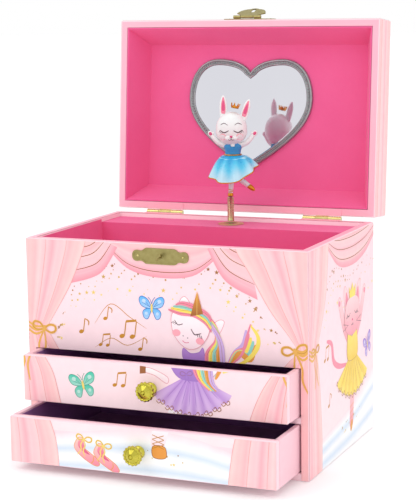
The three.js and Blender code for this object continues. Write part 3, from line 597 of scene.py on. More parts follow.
def build_drawer(looks, name):
    """One drawer: a wrapped front with soft corners, a wrapped box, and a dark lining."""
    body = "drawer_" + name
    low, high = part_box(body + "_front")
    bm = bmesh.new()
    add_box(bm, low, high)
    round_edges(bm, looks.edge_radius)
    finish_piece(body + "_face", bm, "paper", body, [body + "_front"])

    parts = [body + part for part in ("_side_left", "_side_right", "_back", "_bottom")]
    low, high = span(*parts)
    left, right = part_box(parts[0])[1].x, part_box(parts[1])[0].x
    back, floor_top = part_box(parts[2])[0].y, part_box(parts[3])[1].z
    front = low.y + looks.lining
    bm = bmesh.new()
    add_box(bm, low, high)
    cut_planes(bm, 0, (left, right))
    cut_planes(bm, 1, (front, back))
    mouth = faces_within(bm, Vector((left, front, high.z)), Vector((right, back, high.z)), Z_AXIS)
    sink_faces(bm, mouth, Vector((0, 0, floor_top - high.z)))
    bmesh.ops.recalc_face_normals(bm, faces=bm.faces)
    round_edges(bm, looks.lining)
    finish_piece(body + "_box", bm, "plain", body, parts)

    lining, gap = looks.lining, looks.paper_thickness
    outer_low = Vector((left + gap, front + gap, floor_top + gap))
    outer_high = Vector((right - gap, back - gap, high.z - looks.lining_drop))
    bm = bmesh.new()
    add_box(bm, outer_low, outer_high)
    cut_planes(bm, 0, (outer_low.x + lining, outer_high.x - lining))
    cut_planes(bm, 1, (outer_low.y + lining, outer_high.y - lining))
    mouth = faces_within(bm, outer_low + Vector((lining, lining, 0)),
                         outer_high - Vector((lining, lining, 0)), Z_AXIS)
    sink_faces(bm, mouth, Vector((0, 0, outer_low.z + lining - outer_high.z)))
    finish_piece(body + "_lining", bm, "plum", body, smooth=False)


def build_knob(looks, name):
    """A cast brass knob: a stepped foot, a waist and a domed head with fluted edge and a boss."""
    body = "drawer_" + name
    low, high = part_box(body + "_knob")
    middle = Vector((centre(body + "_knob").x, high.y, centre(body + "_knob").z))
    reach, radius = high.y - low.y, (high.x - low.x) / 2
    bm = bmesh.new()
    shape = ((0.0, 0.0), (0.60, 0.0), (0.62, 0.04), (0.56, 0.09), (0.44, 0.12), (0.34, 0.20), (0.30, 0.32),
             (0.36, 0.42), (0.62, 0.50), (0.86, 0.56), (0.94, 0.62), (0.965, 0.68), (0.94, 0.74),
             (0.84, 0.79),
             (0.76, 0.80), (0.70, 0.78), (0.60, 0.80), (0.42, 0.88), (0.26, 0.92), (0.22, 0.93),
             (0.19, 0.91), (0.16, 0.93), (0.10, 0.98), (0.0, 0.99))
    spun(bm, [(share * radius, along * reach) for share, along in shape], middle, -Y_AXIS, looks.flutes * 4)
    for vert in bm.verts:
        out = Vector((vert.co.x - middle.x, 0, vert.co.z - middle.z))
        share = out.length / radius
        along = (middle.y - vert.co.y) / reach
        if share > 0.25 and along > 0.45:
            angle = math.atan2(out.z, out.x)
            wave = math.cos(angle * looks.flutes)
            vert.co -= out * 0.045 * (1 - wave) * min(1, (share - 0.25) * 2)
    finish_piece(body + "_pull", bm, "brass", body, [body + "_knob"])


# ---------------------------------------------------------------------------------------------
# Heart mirror
# ---------------------------------------------------------------------------------------------

def heart_line(middle, half_width, tip, top, steps=14):
    """The heart's closed line. The tip points to the hinge, the lobes to the lid's free edge."""
    height = top - tip
    notch, shoulder = top - height * 0.121, top - height * 0.36
    bends = (
        ((0.0, tip), (0.30, tip + height * 0.13), (1.0, tip + height * 0.34), (1.0, shoulder)),
        ((1.0, shoulder), (1.0, top - height * 0.12), (0.78, top), (0.52, top)),
        ((0.52, top), (0.26, top), (0.06, top - height * 0.05), (0.0, notch)),
    )
    side = []
    for a, b, c, d in bends:
        for step in range(steps):
            t = step / steps
            side.append(tuple(
                (1 - t) ** 3 * p + 3 * (1 - t) ** 2 * t * q + 3 * (1 - t) * t ** 2 * r + t ** 3 * s
                for p, q, r, s in zip(a, b, c, d)))
    side.append((0.0, notch))
    right = [(middle + u * half_width, v) for u, v in side]
    left = [(middle - u * half_width, v) for u, v in side[1:-1]][::-1]
    return right + left


def inset_line(line, distance):
    """A closed line moved inwards by a distance."""
    count = len(line)
    following = line[1:] + line[:1]
    area = sum(a[0] * b[1] - b[0] * a[1] for a, b in zip(line, following))
    turn = 1 if area > 0 else -1
    moved = []
    for index in range(count):
        x0, y0 = line[index - 1]
        x1, y1 = line[(index + 1) % count]
        length = math.hypot(x1 - x0, y1 - y0)
        moved.append((line[index][0] - turn * (y1 - y0) / length * distance,
                      line[index][1] + turn * (x1 - x0) / length * distance))
    return moved


def build_mirror(looks):
    """The heart mirror: bevelled glass in an embossed frame with a row of beads."""
    low, high = shut_span("mirror_frame")
    middle, half_width = (low.x + high.x) / 2, (high.x - low.x) / 2
    face, root = low.z, high.z
    outline = [(x, -v) for x, v in heart_line(middle, half_width, -high.y, -low.y)]
    band = looks.frame_band
    profile = ((0.0, 1.0), (0.0, 0.45), (0.06, 0.18), (0.16, 0.04), (0.28, 0.0), (0.38, 0.16), (0.46, 0.34),
               (0.56, 0.38), (0.66, 0.34), (0.74, 0.16), (0.84, 0.10), (0.94, 0.24), (1.0, 0.5), (1.0, 1.0))
    bm = bmesh.new()
    rings = []
    for across, depth in profile:
        line = inset_line(outline, band * across)
        rings.append([bm.verts.new((x, y, face + (root - face) * depth)) for x, y in line])
    count = len(outline)
    for lower, upper in zip(rings, rings[1:] + rings[:1]):
        for step in range(count):
            following = (step + 1) % count
            bm.faces.new((lower[step], lower[following], upper[following], upper[step]))
    finish_piece("heart_frame", bm, "silver", "lid", ["mirror_frame"], matrix=lid_matrix())

    bead_line = inset_line(outline, band * 0.56)
    lengths = [0.0]
    for index in range(count):
        a, b = bead_line[index], bead_line[(index + 1) % count]
        lengths.append(lengths[-1] + math.dist(a, b))
    beads = int(lengths[-1] / looks.bead_spacing)
    bm = bmesh.new()
    segment = 0
    for bead in range(beads):
        target = lengths[-1] * bead / beads
        while lengths[segment + 1] < target:
            segment += 1
        share = (target - lengths[segment]) / (lengths[segment + 1] - lengths[segment])
        x, y = lerp(bead_line[segment], bead_line[(segment + 1) % count], share)
        radius = looks.bead_spacing * 0.42
        middle_point = Vector((x, y, face + (root - face) * 0.36))
        add_ball(bm, middle_point, (radius, radius, radius), 8, 6)
    finish_piece("heart_beads", bm, "silver", "lid", matrix=lid_matrix())

    glass_low, glass_high = shut_span("mirror_glass")
    pane = inset_line(outline, band - looks.lining)
    inner = inset_line(outline, band + looks.glass_bevel)
    bm = bmesh.new()
    top = glass_high.z
    rim = glass_low.z + looks.glass_drop
    rings = [[bm.verts.new((x, y, z)) for x, y in line]
             for line, z in ((pane, top), (pane, rim), (inner, glass_low.z))]
    for lower, upper in zip(rings, rings[1:]):
        for step in range(count):
            following = (step + 1) % count
            bm.faces.new((lower[step], lower[following], upper[following], upper[step]))
    for ring, line in ((rings[0], pane), (rings[-1], inner)):
        for triangle in tessellate_polygon([[Vector((x, y, 0)) for x, y in line]]):
            bm.faces.new([ring[i] for i in triangle])
    finish_piece("heart_glass", bm, "mirror", "lid", ["mirror_glass"], smooth=False,
                 matrix=lid_matrix())


# ---------------------------------------------------------------------------------------------
# Hinges, latch, movement
# ---------------------------------------------------------------------------------------------

def build_hinge(looks, side):
    """One butt hinge: bright rolled knuckles, and leaves let in under the paper of the rims."""
    axis = Vector(joint("lid_hinge")["pos_m"])
    for owner, node in (("case", "hinge_leaf_case_" + side), ("lid", "hinge_leaf_lid_" + side)):
        bm = bmesh.new()
        bm.from_mesh(frame["nodes"][node].data)
        bmesh.ops.remove_doubles(bm, verts=bm.verts, dist=1e-6)
        piece = finish_piece(node + "_wrapped", bm, "bright", owner, [node], smooth=False)
        piece.data.materials.append(FINISHES["rim"])
        for face in piece.data.polygons:
            away = Vector((0, face.center.y - axis.y, face.center.z - axis.z)).length
            face.material_index = int(away > looks.knuckle)


def brad_profile(radius):
    """A small domed nail head."""
    return [(0.0, 0.0)] + [(radius * math.cos(a), radius * 0.6 * math.sin(a))
                           for a in (0.0, 0.4, 0.8, 1.2)] + [(0.0, radius * 0.6)]


def scalloped_outline(low, high):
    """A plate outline: a tall middle, a step at each side and rounded ends."""
    half, rise = (high[0] - low[0]) / 2, (high[1] - low[1]) / 2
    middle = ((low[0] + high[0]) / 2, (low[1] + high[1]) / 2)
    quarter = ((1.0, 0.0), (0.985, 0.34), (0.93, 0.60), (0.84, 0.70), (0.76, 0.66), (0.69, 0.64),
               (0.62, 0.72), (0.54, 0.94), (0.44, 1.0), (0.2, 1.0))
    right = [(u, -v) for u, v in quarter[:0:-1]] + list(quarter)
    left = [(-u, -v) for u, v in right]
    line = smooth_line(right + left, 3, closed=True)
    return [(middle[0] + u * half, middle[1] + v * rise) for u, v in line]


def build_catch(looks):
    """The catch: a scalloped plate with a raised rim, two rivets and the ornate turn stud."""
    low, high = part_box("catch_plate")
    outline = scalloped_outline((low.x, low.z), (high.x, high.z))
    place = Matrix(((1, 0, 0, 0), (0, 0, -1, high.y), (0, 1, 0, 0), (0, 0, 0, 1)))
    thick = high.y - low.y
    bm = bmesh.new()
    extruded_outline(bm, outline, thick * 0.55, place)
    count = len(outline)
    inner = inset_line(outline, looks.plate_rim)
    middle_line = inset_line(outline, looks.plate_rim * 0.5)
    rings = [[bm.verts.new((x, high.y - thick * share, z)) for x, z in line]
             for line, share in ((outline, 0.5), (outline, 0.85), (middle_line, 1.0), (inner, 0.85),
                                 (inner, 0.5))]
    for lower, upper in zip(rings, rings[1:] + rings[:1]):
        for step in range(count):
            following = (step + 1) % count
            bm.faces.new((lower[step], lower[following], upper[following], upper[step]))
    finish_piece("catch_plate_cast", bm, "antique", "case", ["catch_plate"])
    bm = bmesh.new()
    for share in (0.1, 0.9):
        head = Vector((lerp(low.x, high.x, share), low.y + thick * 0.35, (low.z + high.z) / 2))
        spun(bm, brad_profile(looks.brad), head, -Y_AXIS, 16)
    finish_piece("catch_rivets", bm, "bright", "case")

    low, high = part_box("turn_stud")
    middle = Vector(joint("stud_turn")["pos_m"])
    turn = Matrix.Rotation(math.radians(45), 4, "Y")
    place = Matrix.Translation(middle) @ turn
    reach = middle.y - low.y
    bm = bmesh.new()
    neck = [(0.0, 0.0), (0.0011, 0.0), (0.0011, reach * 0.72), (0.0, reach * 0.72)]
    spun(bm, neck, Vector((0, 0, 0)), -Y_AXIS, 18)
    half = 0.0025
    rings = []
    for along, width in ((-1.0, 0.35), (-0.93, 0.72), (-0.72, 0.95), (-0.45, 0.72), (-0.2, 0.66),
                         (0.0, 0.9), (0.2, 0.66), (0.45, 0.72), (0.72, 0.95), (0.93, 0.72), (1.0, 0.35)):
        ring = []
        for step in range(16):
            angle = math.tau * step / 16
            ring.append(Vector((0.0011 * width * math.cos(angle),
                                -reach * 0.84 + reach * 0.155 * width * math.sin(angle), half * along)))
        rings.append(ring)
    loft(bm, rings)
    finish_piece("catch_stud", bm, "antique", "stud", ["turn_stud"], matrix=place)


def build_hasp(looks):
    """The hasp: a scalloped plate with two brads on the lid; the CAD plate, its pin and the domed flap that
    swings on it are given antique brass.
    """
    low, high = shut_span("hasp_plate")
    plate_front = low.y + (high.y - low.y) * 0.5
    barrel = shut_span("hasp_pin")
    outline = scalloped_outline((low.x, barrel[1].z), (high.x, high.z))
    place = Matrix(((1, 0, 0, 0), (0, 0, -1, high.y), (0, 1, 0, 0), (0, 0, 0, 1)))
    bm = bmesh.new()
    extruded_outline(bm, outline, min(high.y - plate_front, 0.0007), place)
    for share in (0.1, 0.9):
        head = Vector((lerp(low.x, high.x, share), high.y - 0.0007, (barrel[1].z + high.z) / 2))
        spun(bm, brad_profile(looks.brad * 0.8), head, -Y_AXIS, 16)
    finish_piece("hasp_plate_trim", bm, "antique", "lid", matrix=lid_matrix())
    for node in ("hasp_plate", "hasp", "hasp_pin"):
        frame["nodes"][node].data.materials.clear()
        frame["nodes"][node].data.materials.append(FINISHES["antique"])


def build_movement(looks):
    """Finishes of the movement under the deck, the spun escutcheon over it and the winding key behind."""
    for node, finish in (("movement_bedplate", "steel"), ("music_comb", "steel"),
                         ("spring_barrel", "brass"),
                         ("winding_arbor", "steel"), ("music_cylinder", "bright"),
                         ("output_spindle", "steel"),
                         ("governor_fly", "bright"), ("winding_key", "bright"), ("stem_core", "steel"),
                         ("hinge_pin_left", "steel"), ("hinge_pin_right", "steel"),
                         ("compartment_lining", "flock"), ("deck_top", "flock"), ("deck_front", "flock"),
                         ("lid_tray", "flock")):
        mesh = frame["nodes"][node].data
        mesh.materials.clear()
        mesh.materials.append(FINISHES[finish])

    low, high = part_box("spindle_escutcheon")
    middle = Vector((centre("spindle_escutcheon").x, centre("spindle_escutcheon").y, low.z))
    radius, height = (high.x - low.x) / 2, high.z - low.z
    bore = looks.deck_hole / radius
    shape = ((bore, 0.0), (1.0, 0.0), (1.0, 0.3), (0.98, 0.5), (0.94, 0.56), (0.91, 0.5), (0.88, 0.56),
             (0.78, 0.86), (0.70, 1.0), (0.60, 1.0), (0.54, 0.9), (bore, 0.5), (bore, 0.0))
    bm = bmesh.new()
    spun(bm, [(share * radius, along * height) for share, along in shape], middle, Z_AXIS, 64)
    finish_piece("escutcheon", bm, "satin", "case", ["spindle_escutcheon"])

    low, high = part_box("stem_spring")
    middle = centre("stem_spring")
    wire = looks.wire / 2
    radius = (high.x - low.x) / 2 - wire
    turns = int((high.z - low.z - 2 * wire) / (looks.wire * 0.5))
    points = []
    for step in range(turns * 20 + 1):
        angle = math.tau * step / 20
        rise = (high.z - low.z - 2 * wire) * step / (turns * 20)
        points.append(Vector((middle.x + radius * math.cos(angle), middle.y + radius * math.sin(angle),
                              low.z + wire + rise)))
    bm = bmesh.new()
    add_tube(bm, points, wire, 8, up=Z_AXIS)
    spring = finish_piece("stem_coil", bm, "spring", None, ["stem_spring"])
    fold = Vector(joint("stem_fold")["pos_m"])
    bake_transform(spring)


# ---------------------------------------------------------------------------------------------
# Printed pictures. A picture is drawn in millimetres on a flat panel: u to the right, v upwards.
# ---------------------------------------------------------------------------------------------

BACK_CLEARING = 9
GOLDEN = 0.61803398875


def mixed(first, second, share):
    """The line part of the way between two lines of as many points."""
    return [lerp(a, b, share) for a, b in zip(first, second)]


def turned(middle, size, tilt):
    """A function that places a figure's own points: scaled, turned and moved to its middle."""
    def at(u, v):
        return (middle[0] + size * (u * math.cos(tilt) - v * math.sin(tilt)),
                middle[1] + size * (u * math.sin(tilt) + v * math.cos(tilt)))
    return at


class Picture:
    """Flat inked shapes. Each lies one level above whatever it overlaps."""

    def __init__(self):
        self.shapes = []

    def add(self, points, faces, inks, foil):
        """Keeps a shape: its points, faces, an ink for each point, and its share of foil."""
        us, vs = [p[0] for p in points], [p[1] for p in points]
        box = (min(us), min(vs), max(us), max(vs))
        level = 0
        for other in self.shapes:
            low_u, low_v, high_u, high_v = other["box"]
            if box[0] < high_u and low_u < box[2] and box[1] < high_v and low_v < box[3]:
                level = max(level, other["level"] + 1)
        self.shapes.append({"points": points, "faces": faces, "inks": inks, "foil": foil, "box": box,
                            "level": level})

    def area(self, outline, ink, foil=0.0, second=None):
        """A filled outline, which may fade to a second ink at its foot."""
        triangles = tessellate_polygon([[Vector((u, v, 0)) for u, v in outline]])
        if second is None:
            inks = [ink] * len(outline)
        else:
            low, high = min(v for _, v in outline), max(v for _, v in outline)
            inks = [lerp(second, ink, (v - low) / (high - low)) for _, v in outline]
        self.add(outline, triangles, inks, foil)

    def blob(self, points, ink, foil=0.0, edge=None, width=0.4, second=None):
        """A filled smooth outline, with an inked edge when one is given."""
        outline = smooth_line(points, 6, closed=True)
        self.area(outline, ink, foil, second)
        if edge:
            self.stroke(outline + outline[:1], width, edge, smooth=False)

    def disc(self, middle, radius, ink, foil=0.0, squash=1.0, angle=0.0, sides=20):
        """A filled ellipse."""
        at = turned(middle, radius, angle)
        self.area([at(math.cos(math.tau * s / sides), squash * math.sin(math.tau * s / sides))
                   for s in range(sides)], ink, foil)

    def sheet(self, lines, inks, foil=0.0):
        """A skin over several lines of as many points, with an ink for each line or each point."""
        count = len(lines[0])
        faces = [(row * count + i, row * count + i + 1, (row + 1) * count + i + 1, (row + 1) * count + i)
                 for row in range(len(lines) - 1) for i in range(count - 1)]
        points = [point for line in lines for point in line]
        spread = []
        for ink, line in zip(inks, lines):
            spread += ink if isinstance(ink, list) else [ink] * len(line)
        self.add(points, faces, spread, foil)

    def stroke(self, points, width, ink, foil=0.0, taper=0.0, smooth=True):
        """An inked line, which may thin out towards both ends."""
        line = smooth_line(points) if smooth else points
        count = len(line)
        left, right = [], []
        for index, (u, v) in enumerate(line):
            u0, v0 = line[max(index - 1, 0)]
            u1, v1 = line[min(index + 1, count - 1)]
            length = math.hypot(u1 - u0, v1 - v0) or 1
            thin = 1 - taper * abs(2 * index / (count - 1) - 1) ** 2
            du, dv = -(v1 - v0) / length * width / 2 * thin, (u1 - u0) / length * width / 2 * thin
            left.append((u + du, v + dv))
            right.append((u - du, v - dv))
        self.sheet([left, right], [ink, ink], foil)

    def star(self, middle, radius, ink, foil=1.0, points=5, waist=0.42):
        """A pointed star."""
        at = turned(middle, radius, math.pi / 2)
        outline = []
        for step in range(points * 2):
            reach = 1 if step % 2 == 0 else waist
            outline.append(at(reach * math.cos(math.pi * step / points),
                              reach * math.sin(math.pi * step / points)))
        self.area(outline, ink, foil)

    def cloth(self, first, second, folds, dark, light, warm):
        """Hanging cloth between two lines, shaded softly in uneven folds that run along them."""
        steps = folds * 8
        lines, inks = [], []
        for step in range(steps + 1):
            share = step / steps
            phase = math.tau * folds * share
            wave = 0.5 + 0.3 * math.sin(phase + 0.6) + 0.2 * math.sin(2.3 * phase)
            blush = 0.5 + 0.5 * math.sin(math.tau * folds * 0.37 * share + 1.1)
            lines.append(mixed(first, second, share))
            inks.append(lerp(lerp(dark, light, min(1, max(0, wave))), warm, 0.4 * blush))
        self.sheet(lines, inks)


def print_piece(picture, name, place, body, clip, spacing=0.012, lift=0.02):
    """Lays the part of a picture that lies in the clip window on a panel as one piece."""
    low_u, low_v, high_u, high_v = clip
    bm = bmesh.new()
    ink_layer = bm.verts.layers.float_color.new("Ink")
    foil_layer = bm.verts.layers.float.new("Foil")
    for shape in picture.shapes:
        left, bottom, right, top = shape["box"]
        if right < low_u or left > high_u or top < low_v or bottom > high_v:
            continue
        verts = []
        for (u, v), ink in zip(shape["points"], shape["inks"]):
            vert = bm.verts.new((u, v, lift + spacing * shape["level"]))
            vert[ink_layer] = (*ink, 1)
            vert[foil_layer] = shape["foil"]
            verts.append(vert)
        for face in shape["faces"]:
            bm.faces.new([verts[i] for i in face])
    bmesh.ops.triangulate(bm, faces=[face for face in bm.faces if len(face.verts) > 3])
    limits = ((Vector((low_u, 0, 0)), Vector((-1, 0, 0))), (Vector((high_u, 0, 0)), Vector((1, 0, 0))),
              (Vector((0, low_v, 0)), Vector((0, -1, 0))), (Vector((0, high_v, 0)), Vector((0, 1, 0))))
    for point, outward in limits:
        geometry = list(bm.verts) + list(bm.edges) + list(bm.faces)
        bmesh.ops.bisect_plane(bm, geom=geometry, plane_co=point, plane_no=outward, clear_outer=True,
                               dist=1e-6)
    slivers = [face for face in bm.faces if face.calc_area() < 1e-5]
    bmesh.ops.delete(bm, geom=slivers, context="FACES")
    if not bm.faces:
        bm.free()
        raise RuntimeError(f"nothing of the picture {name} lies in its window")
    bm.normal_update()
    bmesh.ops.reverse_faces(bm, faces=[face for face in bm.faces if face.normal.z < 0])
    bmesh.ops.transform(bm, matrix=place @ Matrix.Scale(MM, 4), verts=bm.verts)
    mesh = bpy.data.meshes.new(name)
    bm.to_mesh(mesh)
    bm.free()
    mesh.materials.append(FINISHES["ink"])
    piece = bpy.data.objects.new(name, mesh)
    bpy.context.scene.collection.objects.link(piece)
    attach(piece, body)
    return piece


def panel_place(right, up, out, origin):
    """The matrix that lays a picture on a panel."""
    rows = [(right[i], up[i], out[i], origin[i]) for i in range(3)]
    return Matrix((*rows, (0, 0, 0, 1)))


def butterfly(picture, middle, size, tilt, ink, dark):
    """A butterfly with four wings, a body and feelers."""
    at = turned(middle, size, tilt)
    for side in (-1, 1):
        upper = ((0.06, 0.05), (0.3, 0.62), (0.78, 0.86), (1.0, 0.62), (0.84, 0.18), (0.4, 0.0))
        lower = ((0.06, -0.02), (0.48, -0.06), (0.72, -0.32), (0.62, -0.72), (0.34, -0.8), (0.14, -0.4))
        for wing in (lower, upper):
            picture.blob([at(side * u, v) for u, v in wing], ink, edge=dark, width=size * 0.05,
                         second=lerp(ink, INK["white"], 0.35))
        for u, v, radius in ((0.62, 0.5, 0.16), (0.44, -0.4, 0.12)):
            picture.disc(at(side * u, v), size * radius, lerp(ink, INK["white"], 0.5))
        for reach in (0.5, 0.8):
            picture.stroke([at(side * 0.1, 0.06), at(side * reach, 0.55 - reach * 0.15)], size * 0.035,
                           dark, taper=0.7)
        picture.stroke([at(0, 0.3), at(side * 0.1, 0.6), at(side * 0.28, 0.82)], size * 0.04, dark)
    picture.disc(middle, size * 0.34, INK["gold_light"], 1, squash=0.25, angle=tilt + math.pi / 2)


def note(picture, middle, size, double=False, lean=0.15):
    """A gold musical note, or two joined by a beam."""
    u0, v0 = middle
    for shift in (0.0, 0.75) if double else (0.0,):
        u = u0 + shift * size
        picture.disc((u, v0), size * 0.2, INK["gold"], 1, squash=0.72, angle=0.4)
        picture.stroke([(u + size * 0.17, v0), (u + size * (0.17 + lean), v0 + size)], size * 0.08,
                       INK["gold"], 1,
                       smooth=False)
    top = (u0 + size * (0.17 + lean), v0 + size)
    if double:
        picture.stroke([top, (top[0] + size * 0.75, top[1] + size * 0.1)], size * 0.16, INK["gold"], 1,
                       smooth=False)
    else:
        picture.stroke([top, (top[0] + size * 0.3, top[1] - size * 0.2),
                        (top[0] + size * 0.28, top[1] - size * 0.5)],
                       size * 0.1, INK["gold"], 1, taper=0.5)


def ribbon_bow(picture, middle, size, tilt, ink, dark, tails=1.0):
    """A tied ribbon: two open loops, a knot and two curling tails."""
    at = turned(middle, size, tilt)
    for side in (-1, 1):
        tail = ((0, 0), (0.3, -0.6), (0.15, -1.1), (0.5, -1.7))
        picture.stroke([at(side * u, v * tails) for u, v in tail], size * 0.17, ink, 0.5, taper=0.5)
        loop = ((0.0, 0.0), (0.4, 0.4), (0.9, 0.42), (1.0, 0.05), (0.62, -0.18), (0.0, 0.0))
        picture.stroke([at(side * u, v) for u, v in loop], size * 0.2, ink, 0.5, taper=0.2)
        picture.stroke([at(side * u, v) for u, v in loop], size * 0.05, dark, 0.3, taper=0.3)
    picture.disc(middle, size * 0.17, ink, 0.5)


def spread_line(points, count=28):
    """A smooth line through the points, with as many points as asked, evenly shared out."""
    line = smooth_line(points, 8)
    spread = []
    for index in range(count):
        target = (len(line) - 1) * index / (count - 1)
        step = min(int(target), len(line) - 2)
        spread.append(lerp(line[step], line[step + 1], target - step))
    return spread


def curtain(picture, inner, outer, folds=3):
    """A curtain between its inner edge and the panel's side."""
    first, second = spread_line(inner), spread_line(outer)
    picture.cloth(first, second, folds, INK["curtain"], INK["curtain_light"], INK["curtain_warm"])
    for share in (0.0, 0.31, 0.66):
        picture.stroke(mixed(first, second, share), 0.35, INK["curtain_line"], smooth=False, taper=0.8)


def swag(picture, upper, lower, folds=2, seams=(0.45, 0.72)):
    """Draped cloth between its top line and its lower edge, with gold seams that follow the edge."""
    first, second = spread_line(upper), spread_line(lower)
    picture.cloth(first, second, folds, INK["swag"], INK["swag_light"], INK["swag_warm"])
    edge = mixed(first, second, 0.86)
    picture.sheet([edge, second], [INK["swag"], INK["swag_deep"]])
    for share in seams:
        picture.stroke(mixed(first, second, share), 0.5, INK["gold_dark"], 0.5, smooth=False, taper=0.6)


def scatter_stars(picture, path, depth, count, seed, size=1.0):
    """Gold stars and dots strewn under a line, thinning out with the distance below it."""
    for index in range(count):
        along = (seed + index * GOLDEN) % 1
        below = ((seed * 3.7 + index * GOLDEN * GOLDEN * 2.3) % 1) ** 1.5
        target = along * (len(path) - 1)
        step = min(int(target), len(path) - 2)
        u, v = lerp(path[step], path[step + 1], target - step)
        place = (u, v - below * depth)
        ink = lerp(INK["gold_dark"], INK["gold_light"], min(1, below * 1.3))
        reach = size * (0.55 + 0.75 * ((index * 7 + 3) % 5) / 4)
        if index % 3:
            picture.disc(place, reach * 0.55, ink, 0.6, sides=8)
        else:
            picture.star(place, reach * 1.35, ink, 0.6)


def flounce(picture, left, right, sag, drop, tones, trim, waves=8, waist_width=12):
    """A short ballet skirt drawn from a left to a right hem point, its hem looped with thin braid."""
    deep, light, dark = tones
    waist = ((left[0] + right[0]) / 2, max(left[1], right[1]) + drop)
    steps = waves * 6
    hem, top = [], []
    for step in range(steps + 1):
        share = step / steps
        u, v = lerp(left, right, share)
        hem.append((u, v - sag * math.sin(math.pi * share) ** 0.8 + 0.8 * math.cos(math.tau * waves * share)))
        top.append((waist[0] + (share - 0.5) * waist_width, waist[1]))
    lines = [mixed(top, hem, share) for share in (0.0, 0.3, 0.65, 1.0)]
    rows = []
    for share in (0.0, 0.3, 0.65, 1.0):
        row = []
        for step in range(steps + 1):
            wave = 0.5 + 0.5 * math.sin(math.tau * waves * 0.8 * step / steps)
            row.append(lerp(deep, light, min(1, 0.25 * wave + 0.75 * share * (0.4 + 0.6 * wave))))
        rows.append(row)
    picture.sheet(lines, rows)
    for petal in range(1, waves):
        index = petal * 6
        picture.stroke([lerp(top[index], hem[index], share) for share in (0.05, 0.5, 0.8)], 0.35, dark,
                       taper=0.8)
    for step in range(0, steps - 1, 3):
        u, v = hem[step]
        loop = [(u - 1.3, v), (u, v - 1.5), (u + 1.6, v - 0.4), (u + 0.8, v + 1.3), (u - 0.4, v + 0.4)]
        picture.stroke(loop, 0.45, trim, 0.3)
    return waist


def closed_eye(picture, middle, size, tilt, side, ink):
    """A lowered lid with lashes."""
    at = turned(middle, size, tilt)
    picture.stroke([at(-1, 0.25), at(0, -0.4), at(1, 0.25)], size * 0.2, ink, taper=0.4)
    for share in (0.3, 0.75, 1.1):
        picture.stroke([at(side * share, -0.1), at(side * (share + 0.4), -0.6)], size * 0.12, ink,
                       smooth=False)


